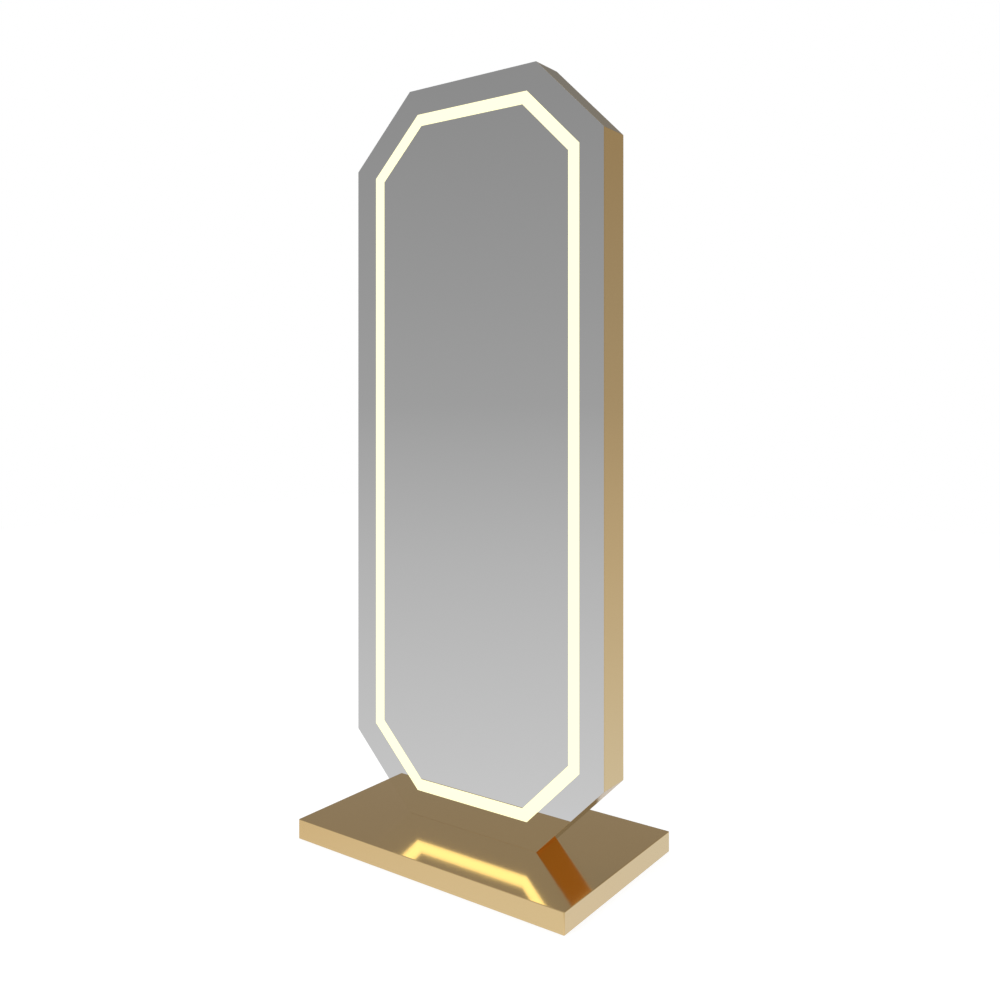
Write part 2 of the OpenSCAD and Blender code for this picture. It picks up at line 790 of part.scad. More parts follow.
// Terminal blades at the back of the switch
module switch_terminals() {
    color(brass_yellow) at_switch() for (i = [-1 : 1])
        translate([-blade_w / 2, -switch_d - blade_l, i * blade_pitch - blade_t / 2])
            cube([blade_w, blade_l + switch_floor / 2, blade_t]);
}

// One bend of a lead: it comes to the corner p along u and leaves along w
module lead_bend_at(p, u, w) {
    n = cross(u, w);
    c = p + lead_bend * (w - u);
    multmatrix([
        [-w[0], u[0], n[0], c[0]],
        [-w[1], u[1], n[1], c[1]],
        [-w[2], u[2], n[2], c[2]],
        [0, 0, 0, 1]
    ])
        rotate_extrude(angle = 90) translate([lead_bend, 0]) circle(r = lead_r);
}

// An insulated lead through the corners of a route, whose runs are square to each other
module lead(route) {
    last = len(route) - 1;
    for (i = [0 : last - 1]) {
        run = route[i + 1] - route[i];
        u = run / norm(run);
        a = i == 0 ? 0 : lead_bend;
        b = i == last - 1 ? 0 : lead_bend;
        translate(route[i] + a * u) rotate([0, acos(u[2]), atan2(u[1], u[0])])
            cylinder(r = lead_r, h = norm(run) - a - b);
        if (i < last - 1) {
            next = route[i + 2] - route[i + 1];
            lead_bend_at(route[i + 1], u, next / norm(next));
        }
    }
}

// Leads from the switch to the terminal block, with sleeves on the blades
module switch_leads() {
    sleeve_gap = 1;
    tip_y = service_y - switch_d - blade_l;
    sleeve_w = blade_w + 2 * sleeve_wall;
    sleeve_t = blade_t + 2 * sleeve_wall;
    sleeve_l = blade_l + sleeve_wall - sleeve_gap;
    entry_x = terminal_x + terminal_w / 4;
    side_x = max(lead_side_x, switch_x + 2 * lead_bend + over);
    color(lead_brown) for (i = [0, 1]) {
        z = base_top + service_z - i * blade_pitch;
        rise_x = side_x + i * lead_step;
        pole_z = driver_z + (i - 1) * pole_pitch;
        lead([
            [switch_x, tip_y - sleeve_wall, z], [switch_x, pole_y, z], [rise_x, pole_y, z],
            [rise_x, pole_y, pole_z], [entry_x, pole_y, pole_z]
        ]);
        difference() {
            translate([switch_x - sleeve_w / 2, tip_y - sleeve_wall, z - sleeve_t / 2])
                cube([sleeve_w, sleeve_l, sleeve_t]);
            translate([switch_x - blade_w / 2, tip_y, z - blade_t / 2])
                cube([blade_w, sleeve_l, blade_t]);
        }
    }
}

// Leads from the terminal block to the supply end of the driver
module driver_leads() {
    end_z = driver_z + driver_end;
    top_z = driver_z + driver_l / 2 + 2 * lead_bend;
    left_x = terminal_x - (terminal_w + terminal_gap) / 2;
    in_x = driver_x + driver_w / 3;
    in_y = driver_y + driver_t / 2;
    color(lead_blue) for (i = [0, 1]) {
        side = 1 - 2 * i;
        side_x = i == 0 ? lead_side_x : left_x;
        pole_z = driver_z + (1 - i) * pole_pitch;
        x = in_x + i * lead_step;
        z = top_z + i * lead_step;
        lead([
            [terminal_x + side * terminal_w / 4, pole_y, pole_z], [side_x, pole_y, pole_z],
            [side_x, pole_y, z], [x, pole_y, z], [x, in_y, z], [x, in_y, end_z]
        ]);
    }
}

// Leads from the light end of the driver through the board to the light strips
module light_leads() {
    start_z = driver_z - driver_end;
    strip_z = base_top + band_mid;
    left_z = start_z - driver_l / 3;
    y = driver_y + driver_t / 2;
    x = upright_pitch / 4;
    color(lead_red) {
        lead([[x, y, start_z], [x, y, strip_z], [x, channel_floor_y, strip_z]]);
        lead([
            [driver_x - driver_w / 3, y, start_z], [driver_x - driver_w / 3, y, left_z],
            [-x, y, left_z], [-x, y, strip_z], [-x, channel_floor_y, strip_z]
        ]);
    }
}

// Places a piece of the gland, its axis along +Z, from the outside of the cover
module at_gland() {
    translate([gland_x, service_y, base_top + service_z]) rotate([-90, 0, 0]) children();
}

// Gland body: thread through the cover, hexagon flange and seat for the seal
module gland_body() {
    stem = seal_l + 1;
    thread_end = 3;
    inside = cover_t + locknut_t + thread_end;
    color(black) at_gland() difference() {
        union() {
            translate([0, 0, -inside]) cylinder(r = gland_r, h = inside + over);
            hexagon(gland_af, gland_flange_t);
            cylinder(r = gland_r, h = gland_flange_t + stem);
        }
        translate([0, 0, -inside - over])
            cylinder(r = gland_bore_r, h = inside + gland_flange_t + stem + 2 * over);
        translate([0, 0, gland_flange_t + 1]) cylinder(r = gland_seat_r, h = stem);
    }
}

// Rubber seal with the way for the cable
module gland_seal() {
    color(black) at_gland() translate([0, 0, gland_flange_t + 1]) difference() {
        cylinder(r = gland_seat_r - 0.1, h = seal_l);
        translate([0, 0, -over]) cylinder(r = cable_r, h = seal_l + 2 * over);
    }
}

// Domed nut that closes on the seal
module gland_nut() {
    low = gland_flange_t + 0.5;
    inner = gland_flange_t + seal_l + 1.2;
    top = low + gland_nut_l;
    color(black) at_gland() difference() {
        intersection() {
            translate([0, 0, low]) hexagon(gland_af, gland_nut_l);
            rotate_extrude() polygon([
                [0, low], [0.56 * gland_af, low], [0.58 * gland_af, low + 1],
                [0.58 * gland_af, low + 0.55 * gland_nut_l],
                [0.5 * gland_af, low + 0.7 * gland_nut_l],
                [gland_bore_r + 2, top], [0, top]
            ]);
        }
        translate([0, 0, low - over]) cylinder(r = gland_r + 0.1, h = inner - low + over);
        cylinder(r = gland_bore_r, h = top + over);
    }
}

// Locknut on the gland, inside the cover
module gland_locknut() {
    color(black) at_gland() translate([0, 0, -cover_t - locknut_t]) difference() {
        hexagon(gland_af, locknut_t);
        translate([0, 0, -over]) cylinder(r = gland_r + thread_clear, h = locknut_t + 2 * over);
    }
}

// A flat plate in the base, centred, from z up
module base_plate(w, d, z, t) {
    translate([-w / 2, -d / 2, z]) cube([w, d, t]);
}

// Gold sheet folded down over the base, open underneath
module base_cover() {
    color(gold) difference() {
        base_plate(base_w, base_d, skirt_gap, base_top - skirt_gap);
        base_plate(base_w - 2 * sheet_t, base_d - 2 * sheet_t, skirt_gap - over,
            base_top - sheet_t - skirt_gap + over);
        translate([0, 0, base_top - sheet_t - over]) linear_extrude(sheet_t + 2 * over)
            bolt_holes_2d(bolt_r + bolt_clear);
    }
}

// Foam pad between the gold top and the frame
module foam_pad() {
    color(black) difference() {
        base_plate(core_w, core_d, pad_z, pad_t);
        translate([0, 0, pad_z - over]) linear_extrude(pad_t + 2 * over)
            bolt_holes_2d(bolt_r + bolt_clear);
    }
}

// Tube frame of the base: two long tubes, two ends and two cross tubes
module base_frame() {
    inner_d = core_d - 2 * base_tube_w;
    end_x = (core_w - base_tube_w) / 2;
    color(steel_grey) translate([0, 0, base_frame_z + base_tube_w / 2]) {
        for (y = [-1, 1])
            translate([-core_w / 2, y * (core_d - base_tube_w) / 2, 0]) rotate([0, 90, 0])
                tube(base_tube_w, base_tube_w, core_w, tube_wall);
        for (x = [-end_x, -cross_pitch / 2, cross_pitch / 2, end_x])
            translate([x, inner_d / 2, 0]) rotate([90, 0, 0])
                tube(base_tube_w, base_tube_w, inner_d, tube_wall);
    }
}

// Thick plate between the cross tubes, which the tie bolts pull on
module tie_plate() {
    color(steel_grey) difference() {
        base_plate(cross_pitch - base_tube_w, tie_plate_d, tie_plate_z, tie_plate_t);
        translate([0, 0, tie_plate_z - over]) linear_extrude(tie_plate_t + 2 * over)
            bolt_holes_2d(bolt_r + bolt_clear);
    }
}

// Steel ballast, with holes for a socket wrench to reach the tie bolts
module ballast_plate() {
    color(steel_grey) difference() {
        base_plate(core_w, core_d, ballast_z, ballast_t);
        translate([0, 0, ballast_z - over]) linear_extrude(ballast_t + 2 * over) {
            bolt_holes_2d(washer_r + wrench_gap);
            for (p = foot_places) translate(p) circle(r = foot_screw_r + thread_clear);
        }
    }
}

// Closing plate under the base
module underplate() {
    w = base_w - 2 * (sheet_t + underplate_gap);
    d = base_d - 2 * (sheet_t + underplate_gap);
    color(black) difference() {
        base_plate(w, d, underplate_z, underplate_t);
        translate([0, 0, underplate_z - over]) linear_extrude(underplate_t + 2 * over)
            for (p = foot_places) translate(p) circle(r = foot_screw_r + screw_clear);
    }
}

// Rubber feet, each with a sunk hole for its screw
module rubber_feet() {
    color(black) for (p = foot_places) translate(p) difference() {
        cylinder(r = foot_r, h = foot_h);
        translate([0, 0, -over]) cylinder(r = foot_screw_head_r + screw_clear, h = foot_h / 2 + over);
        cylinder(r = foot_screw_r + screw_clear, h = foot_h + over);
    }
}

// Screws up through the feet and the closing plate into the ballast
module foot_screws() {
    color(zinc) for (p = foot_places) translate([p[0], p[1], foot_h / 2]) rotate([180, 0, 0])
        pan_screw(foot_screw_r, foot_h / 2 + underplate_t + ballast_t - foot_screw_cover,
            foot_screw_head_r, 0.4 * foot_h);
}

// Bolts up through the base into the foot plate
module tie_bolts() {
    color(zinc) for (p = bolt_places) translate([p[0], p[1], tie_plate_z - washer_t]) {
        translate([0, 0, -bolt_head_t]) hexagon(bolt_head_af, bolt_head_t);
        cylinder(r = bolt_r, h = bolt_len + washer_t);
    }
}

// Washers under the bolt heads
module tie_washers() {
    color(zinc) for (p = bolt_places) translate([p[0], p[1], tie_plate_z - washer_t])
        difference() {
            cylinder(r = washer_r, h = washer_t);
            translate([0, 0, -over]) cylinder(r = bolt_r + bolt_clear / 2, h = washer_t + 2 * over);
        }
}

casing_wrap();
casing_flange();
mirror_surround();
mirror_centre();
light_diffuser();
backing_board();
light_channels();
light_strips();
perimeter_frame();
uprights();
cross_rails();
side_arms();
foot_plate();
board_screws();
back_cover();
cover_screws();
driver_plate();
driver_plate_screws();
light_driver();
driver_screws();
terminal_block();
switch_body();
switch_rocker();
switch_terminals();
gland_body();
gland_seal();
gland_nut();
gland_locknut();
base_cover();
foam_pad();
base_frame();
tie_plate();
ballast_plate();
underplate();
rubber_feet();
foot_screws();
tie_bolts();
tie_washers();
switch_leads();
driver_leads();
light_leads();
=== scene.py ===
"""Freestanding salon mirror with cut corners, a lit band and a gold casing on a gold base.

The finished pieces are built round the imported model, in metres and in its frame: the mirror
faces -Y, +Z is up, and the origin is on the floor in the middle of the base.
"""
import json
import math

import bmesh
import bpy
from bpy.props import FloatProperty, FloatVectorProperty, IntProperty, PointerProperty
from mathutils import Matrix, Vector


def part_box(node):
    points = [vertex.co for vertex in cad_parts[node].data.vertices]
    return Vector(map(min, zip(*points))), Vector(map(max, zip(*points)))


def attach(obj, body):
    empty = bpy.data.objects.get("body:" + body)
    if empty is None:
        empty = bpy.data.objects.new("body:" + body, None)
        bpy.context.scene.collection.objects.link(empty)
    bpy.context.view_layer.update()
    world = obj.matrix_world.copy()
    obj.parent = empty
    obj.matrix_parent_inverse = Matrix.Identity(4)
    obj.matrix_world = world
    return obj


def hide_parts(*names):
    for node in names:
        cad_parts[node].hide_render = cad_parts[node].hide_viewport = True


bl_info = {
    "name": "Salon mirror",
    "version": (1, 0, 0),
    "blender": (4, 5, 0),
    "location": "View3D > Sidebar > Salon mirror",
    "description": "Builds a freestanding salon mirror with a lit band and a gold casing",
    "category": "Add Mesh",
}

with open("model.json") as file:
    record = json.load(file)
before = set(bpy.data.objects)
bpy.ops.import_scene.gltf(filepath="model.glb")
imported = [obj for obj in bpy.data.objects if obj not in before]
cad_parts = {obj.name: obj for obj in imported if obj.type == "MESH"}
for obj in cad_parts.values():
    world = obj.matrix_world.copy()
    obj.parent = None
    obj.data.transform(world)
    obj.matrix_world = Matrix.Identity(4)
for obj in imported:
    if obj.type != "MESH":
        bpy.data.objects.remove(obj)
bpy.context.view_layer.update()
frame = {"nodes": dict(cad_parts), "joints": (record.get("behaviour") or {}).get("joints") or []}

MIRROR = "mirror"
ROCKER = "rocker"
BACK = Vector((0, 1, 0))
UP = Vector((0, 0, 1))
MM = 0.001
# How near two heights or depths of the frame lie when they are the same one
LEVEL_WITH = 1e-5
# How near two points lie when they are the same one, in a CAD mesh and in a finished one
CAD_WELD = 1e-6
WELD = 1e-7
# An edge that bends by more than this stays sharp
SHARP = math.radians(40)
# Faces that bend by less than this lie in one plane
LEVEL = math.radians(0.5)


def half_width_at(node, axis, place):
    """Half the width of a CAD node, along X, where its other axis has that place."""
    points = [v.co for v in frame["nodes"][node].data.vertices]
    return max(abs(p.x) for p in points if abs(p[axis] - place) < LEVEL_WITH)


def solids_of(node):
    """Lowest and highest corner of each separate solid of a CAD node, in order."""
    shape = bmesh.new()
    shape.from_mesh(frame["nodes"][node].data)
    bmesh.ops.remove_doubles(shape, verts=shape.verts, dist=CAD_WELD)
    waiting = set(shape.verts)
    found = []
    while waiting:
        reached = [waiting.pop()]
        for vertex in reached:
            near = {e.other_vert(vertex) for e in vertex.link_edges} & waiting
            waiting -= near
            reached.extend(near)
        low = Vector([min(v.co[i] for v in reached) for i in range(3)])
        high = Vector([max(v.co[i] for v in reached) for i in range(3)])
        found.append((low, high))
    shape.free()
    return sorted(found, key=lambda corners: corners[0][:])


def set_at(solids, axis, place):
    """Middles of solids, each moved along one axis to a place."""
    middles = [(low + high) / 2 for low, high in solids]
    for middle in middles:
        middle[axis] = place
    return middles


PANEL_LOW, PANEL_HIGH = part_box("casing_wrap")
FACE_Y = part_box("mirror_surround")[0].y
GLASS_BACK_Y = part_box("mirror_surround")[1].y
COVER_BACK_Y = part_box("back_cover")[1].y
HALF_PANEL = PANEL_HIGH.x
CORNER_LEG = HALF_PANEL - half_width_at("casing_wrap", 2, PANEL_HIGH.z)
BAND_INSET = HALF_PANEL - half_width_at("light_diffuser", 1, FACE_Y)
MIDDLE_INSET, LIP_INSET, GLASS_SET, COVER_INSET = (
    HALF_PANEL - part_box(node)[1].x
    for node in ("mirror_centre", "light_diffuser", "mirror_surround", "back_cover"))
# The panel's outline, as the sweep round it takes it
PANEL_SHAPE = {
    "Width": 2 * HALF_PANEL, "Height": PANEL_HIGH.z - PANEL_LOW.z,
    "Middle Height": (PANEL_HIGH.z + PANEL_LOW.z) / 2, "Corner Leg": CORNER_LEG,
}
# Each of the panel's eight corners turns by 45 degrees, so its mitre leans by half of that
MITRE = math.radians(22.5)
# From +Z to +Y, for what is built upright and fixed on the back
TO_BACK = Matrix.Rotation(math.radians(-90), 4, "X")
# The rocker leans by this at rest, and by as much the other way when it is off
ROCKER_LEAN = math.radians(10)
# The part of the switch that goes through the back cover, and the radius of the gland's thread
SWITCH_BODY = (13 * MM, 19 * MM)
GLAND_THREAD = 8 * MM


class MirrorSizes(bpy.types.PropertyGroup):
    """Sizes of the finished pieces that may be changed without changing the frame."""

    sheet: FloatProperty(
        name="Sheet", description="Thickness of the gold steel sheet",
        default=1.5 * MM, unit="LENGTH")
    flange: FloatProperty(
        name="Flange", description="Width of the casing's flange behind its walls",
        default=16 * MM, unit="LENGTH")
    fold: FloatProperty(
        name="Fold", description="Outer radius of the folds in the gold sheet",
        default=1.2 * MM, unit="LENGTH")
    burr: FloatProperty(
        name="Sheet edge", description="Rounding of the cut edges of the sheet",
        default=0.4 * MM, unit="LENGTH")
    arris: FloatProperty(
        name="Arris", description="Width of the ground edges of the glass",
        default=0.12 * MM, unit="LENGTH")
    overhang: FloatProperty(
        name="Glass edge", description="Distance from the outside of the casing to the glass",
        default=0.05 * MM, unit="LENGTH")
    joint: FloatProperty(
        name="Joint", description="Gap between the glass and the light band",
        default=0.1 * MM, unit="LENGTH")
    lip: FloatProperty(
        name="Lip", description="Thickness of the band's lips behind the glass",
        default=3 * MM, unit="LENGTH")
    fold_steps: IntProperty(
        name="Fold steps", description="Number of flats in each fold",
        default=5, min=1, max=12)
    vent_length: FloatProperty(
        name="Vent length", description="Length of a vent slot in the back cover",
        default=70 * MM, unit="LENGTH")
    vent_width: FloatProperty(
        name="Vent width", description="Width of a vent slot in the back cover",
        default=4 * MM, unit="LENGTH")
    vent_pitch: FloatProperty(
        name="Vent pitch", description="Distance between the vent slots",
        default=11 * MM, unit="LENGTH")
    vent_count: IntProperty(
        name="Vents", description="Number of slots in a group of vents",
        default=7, min=1, max=20)


class MirrorFinishes(bpy.types.PropertyGroup):
    """Colours and polish of the visible finishes."""

    gold: FloatVectorProperty(
        name="Gold", description="Colour of the polished gold sheet",
        default=(1.0, 0.70, 0.33), subtype="COLOR", min=0, max=1)
    gold_roughness: FloatProperty(
        name="Gold roughness", description="Least roughness of the polished gold sheet",
        default=0.10, min=0, max=1)
    silver: FloatVectorProperty(
        name="Silver", description="Colour of the silvered glass",
        default=(0.90, 0.90, 0.90), subtype="COLOR", min=0, max=1)
    glow: FloatVectorProperty(
        name="Glow", description="Colour of the light from the band",
        default=(1.0, 0.95, 0.565), subtype="COLOR", min=0, max=1)
    glow_strength: FloatProperty(
        name="Glow strength", description="Strength of the light from the band",
        default=1.38, min=0, max=10)
    powder: FloatVectorProperty(
        name="Powder coat", description="Colour of the back cover",
        default=(0.020, 0.020, 0.022), subtype="COLOR", min=0, max=1)


class MirrorStage(bpy.types.PropertyGroup):
    """Camera, surroundings and lamps."""

    camera_place: FloatVectorProperty(
        name="Camera", description="Place of the camera",
        default=(1.4499, -1.9284, 1.0653), subtype="TRANSLATION", unit="LENGTH")
    camera_turn: FloatProperty(
        name="Turn", description="Turn of the camera to the right of the mirror's front",
        default=math.radians(35.8635), subtype="ANGLE")
    lens: FloatProperty(
        name="Lens", description="Focal length in millimetres on a 36 mm sensor",
        default=35.841, min=1)
    rise: FloatProperty(
        name="Rise", description="Vertical shift of the lens, in widths of the picture",
        default=-0.0948)
    floor_side: FloatProperty(
        name="Floor", description="Length of the floor's sides",
        default=14.0, unit="LENGTH")
    key_power: FloatProperty(
        name="Key lamp", description="Power of the lamp before the mirror",
        default=60.0, subtype="POWER")
    fill_power: FloatProperty(
        name="Fill lamp", description="Power of the lamp behind the mirror",
        default=45.0, subtype="POWER")


class NodeMaker:
    """Short calls that add nodes to a tree and join them."""

    def __init__(self, tree):
        self.tree = tree

    @staticmethod
    def socket(sockets, key):
        """The socket in use with that name, or with that number."""
        if isinstance(key, int):
            return sockets[key]
        return next(s for s in sockets if s.name == key and s.enabled)

    def add(self, kind, inputs=None, **settings):
        """Adds a node. An input is a value, or a socket to join it to."""
        node = self.tree.nodes.new(kind)
        for name, value in settings.items():
            setattr(node, name, value)
        for key, value in (inputs or {}).items():
            socket = self.socket(node.inputs, key)
            if isinstance(value, bpy.types.NodeSocket):
                self.tree.links.new(value, socket)
            else:
                socket.default_value = value
        return node

    def out(self, kind, name, inputs=None, **settings):
        """Adds a node and returns its output with that name."""
        return self.socket(self.add(kind, inputs, **settings).outputs, name)

    def math(self, operation, *values):
        """A number worked out from one, two or three others."""
        return self.out("ShaderNodeMath", "Value", dict(enumerate(values)), operation=operation)

    def vector(self, operation, *values):
        """A vector worked out from others."""
        found = self.add("ShaderNodeVectorMath", dict(enumerate(values)), operation=operation)
        return next(s for s in found.outputs if s.enabled)

    def scaled(self, vector, factor):
        """A vector times a number."""
        return self.out("ShaderNodeVectorMath", "Vector", {0: vector, "Scale": factor},
                        operation="SCALE")

    def ranged(self, value, start, end, low=0.0, high=1.0):
        """A number that goes from low to high as a value goes from start to end."""
        return self.out("ShaderNodeMapRange", "Result", {
            "Value": value, "From Min": start, "From Max": end, "To Min": low, "To Max": high})

    def mixed(self, share, first, second):
        """A colour that goes from the first to the second as a share goes from 0 to 1."""
        return self.out("ShaderNodeMix", "Result", {"Factor": share, "A": first, "B": second},
                        data_type="RGBA")

    def either(self, share, first, second):
        """The first shader where the share is 0, and the second where it is 1."""
        return self.add("ShaderNodeMixShader", {0: share, 1: first, 2: second}).outputs[0]

    def light(self, kind, colour, strength):
        """A background or an emission of that colour and strength."""
        return self.add(kind, {"Color": colour, "Strength": strength}).outputs[0]


class ShapeTree(NodeMaker):
    """A Geometry Nodes tree with named inputs, for a modifier."""

    def __init__(self, name):
        super().__init__(bpy.data.node_groups.new(name, "GeometryNodeTree"))
        self.tree.interface.new_socket("Geometry", in_out="OUTPUT",
                                       socket_type="NodeSocketGeometry")

    def takes(self, inputs):
        """Names the tree's inputs, each by its kind or its default, and returns them by name."""
        kinds = {float: "Float", int: "Int", tuple: "Vector"}
        for name, given in inputs.items():
            kind = given if isinstance(given, str) else kinds[type(given)]
            socket = self.tree.interface.new_socket(name, in_out="INPUT",
                                                    socket_type="NodeSocket" + kind)
            if kind != given:
                socket.default_value = given
        start = self.add("NodeGroupInput")
        return {name: start.outputs[name] for name in inputs}

    def filleted(self, curve, steps, radius, limited=False):
        """A curve whose corners are rounded, each in that many flats."""
        return self.out("GeometryNodeFilletCurve", "Curve",
                        {"Curve": curve, "Count": steps, "Radius": radius,
                         "Limit Radius": limited}, mode="POLY")

    def keeping(self, geometry, name, value):
        """A geometry that keeps a vector on each of its points, under a name."""
        return self.out("GeometryNodeStoreNamedAttribute", "Geometry",
                        {"Geometry": geometry, "Name": name, "Value": value},
                        data_type="FLOAT_VECTOR", domain="POINT")

    def kept(self, name):
        """The vector that is kept under that name."""
        return self.out("GeometryNodeInputNamedAttribute", "Attribute", {"Name": name},
                        data_type="FLOAT_VECTOR")

    def end(self, geometry, material):
        """Ends the tree in real meshes of that material."""
        real = self.out("GeometryNodeRealizeInstances", "Geometry", {"Geometry": geometry})
        painted = self.out("GeometryNodeSetMaterial", "Geometry",
                           {"Geometry": real, "Material": material})
        self.add("NodeGroupOutput", {"Geometry": painted})
        return self.tree


def new_object(name, data):
    """An object in the scene that holds the data."""
    made = bpy.data.objects.new(name, data)
    bpy.context.scene.collection.objects.link(made)
    return made


def grow(piece, tree, inputs):
    """Gives the piece a Geometry Nodes modifier with these inputs."""
    modifier = piece.modifiers.new(tree.name, "NODES")
    modifier.node_group = tree
    for item in tree.interface.items_tree:
        if item.in_out == "INPUT" and item.name in inputs:
            modifier[item.identifier] = inputs[item.name]


def settle(piece, *helpers):
    """Turns the piece and its modifiers into a plain mesh, and removes its helpers."""
    depsgraph = bpy.context.evaluated_depsgraph_get()
    mesh = bpy.data.meshes.new_from_object(piece.evaluated_get(depsgraph))
    piece.modifiers.clear()
    piece.data = mesh
    mesh.name = piece.name
    for helper in helpers:
        bpy.data.objects.remove(helper)
    shape = bmesh.new()
    shape.from_mesh(mesh)
    bmesh.ops.remove_doubles(shape, verts=shape.verts, dist=WELD)
    bmesh.ops.recalc_face_normals(shape, faces=shape.faces)
    shape.to_mesh(mesh)
    shape.free()
    return shade(piece)


def shade(piece, widest=2.5 * MM):
    """Keeps wide faces flat, so that they reflect as true planes, and smooths the folds."""
    piece.data.set_sharp_from_angle(angle=SHARP)
    shape = bmesh.new()
    shape.from_mesh(piece.data)
    for face in shape.faces:
        longest = max(edge.calc_length() for edge in face.edges)
        bends = [edge.calc_face_angle(math.pi) for edge in face.edges]
        face.smooth = face.calc_area() < widest * longest and min(bends) > LEVEL
    shape.to_mesh(piece.data)
    shape.free()
    return piece


def skin(name, loops, closed=False):
    """A mesh through loops of equal length, with caps on its ends unless it is closed."""
    shape = bmesh.new()
    rows = [[shape.verts.new(p) for p in loop] for loop in loops]
    count = len(rows[0])
    pairs = list(zip(rows, rows[1:] + rows[:1] if closed else rows[1:]))
    for row, after in pairs:
        for i in range(count):
            j = (i + 1) % count
            shape.faces.new((row[i], row[j], after[j], after[i]))
    if not closed:
        shape.faces.new(rows[0][::-1])
        shape.faces.new(rows[-1])
    bmesh.ops.recalc_face_normals(shape, faces=shape.faces)
    mesh = bpy.data.meshes.new(name)
    shape.to_mesh(mesh)
    shape.free()
    return shade(new_object(name, mesh))


def joined(name, pieces):
    """One piece made of several."""
    shape = bmesh.new()
    for piece in pieces:
        shape.from_mesh(piece.data)
        bpy.data.objects.remove(piece)
    mesh = bpy.data.meshes.new(name)
    shape.to_mesh(mesh)
    shape.free()
    return new_object(name, mesh)


def moved(piece, matrix):
    """Moves a piece's mesh, and leaves its object at the origin."""
    piece.data.transform(matrix)
    piece.data.update()
    return piece


def finished(piece, material, slot, body, *nodes):
    """Gives a piece its material, its body and the CAD nodes that it stands for, which it hides.
    The slot is not used.
    """
    if material is not None:
        piece.data.materials.clear()
        piece.data.materials.append(material)
    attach(piece, body)
    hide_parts(*nodes)


def arc(middle, radius, start, end, steps):
    """Points on an arc, as pairs, from one angle in degrees to another."""
    angles = [math.radians(start + (end - start) * k / steps) for k in range(steps + 1)]
    return [(middle[0] + x, middle[1] + y) for x, y in (turned(radius, a) for a in angles)]


def rounded_outline(corners, radius, steps):
    """A closed outline through the corners, in order, with each corner rounded."""
    points = []
    count = len(corners)
    for i, corner in enumerate(corners):
        here = Vector(corner)
        back = (Vector(corners[i - 1]) - here).normalized()
        ahead = (Vector(corners[(i + 1) % count]) - here).normalized()
        half = back.angle(ahead) / 2
        middle = here + (back + ahead).normalized() * (radius / math.sin(half))
        first, last = (here + way * (radius / math.tan(half)) - middle for way in (back, ahead))
        for k in range(steps + 1):
            spoke = first.slerp(last, k / steps, first)
            points.append(tuple(middle + spoke.normalized() * radius))
    return points


def rectangle(width, height, radius, steps=4):
    """Outline of a rectangle round the origin, with rounded corners."""
    w, h = width / 2, height / 2
    return rounded_outline([(w, -h), (w, h), (-w, h), (-w, -h)], radius, steps)


def octagon(inset, radius, steps=5):
    """Outline of the panel in X and Z at an inset, with its eight folds rounded."""
    leg = CORNER_LEG - inset * (2 - math.sqrt(2))
    side = HALF_PANEL - inset
    low, high = PANEL_LOW.z + inset, PANEL_HIGH.z - inset
    corners = [
        (side, low + leg), (side, high - leg), (side - leg, high), (leg - side, high),
        (-side, high - leg), (-side, low + leg), (leg - side, low), (side - leg, low),
    ]
    return rounded_outline(corners, radius, steps)


def turned(radius, angle):
    """A point at that radius and angle."""
    return radius * math.cos(angle), radius * math.sin(angle)


def hexagonal(width, steps=24):
    """Points on a hexagon as wide as that across its flats, as many as a circle's."""
    points = []
    for k in range(steps):
        angle = 2 * math.pi * k / steps
        from_flat = (angle + math.pi / 6) % (math.pi / 3) - math.pi / 6
        points.append(turned(width / 2 / math.cos(from_flat), angle))
    return points


def circular(radius, steps=24):
    """Points on a circle."""
    return [turned(radius, 2 * math.pi * k / steps) for k in range(steps)]


def at_height(outline, z):
    """An outline in X and Y, lifted to a height."""
    return [(x, y, z) for x, y in outline]


def at_depth(outline, y):
    """An outline in X and Z, set at a depth."""
    return [(x, y, z) for x, z in outline]


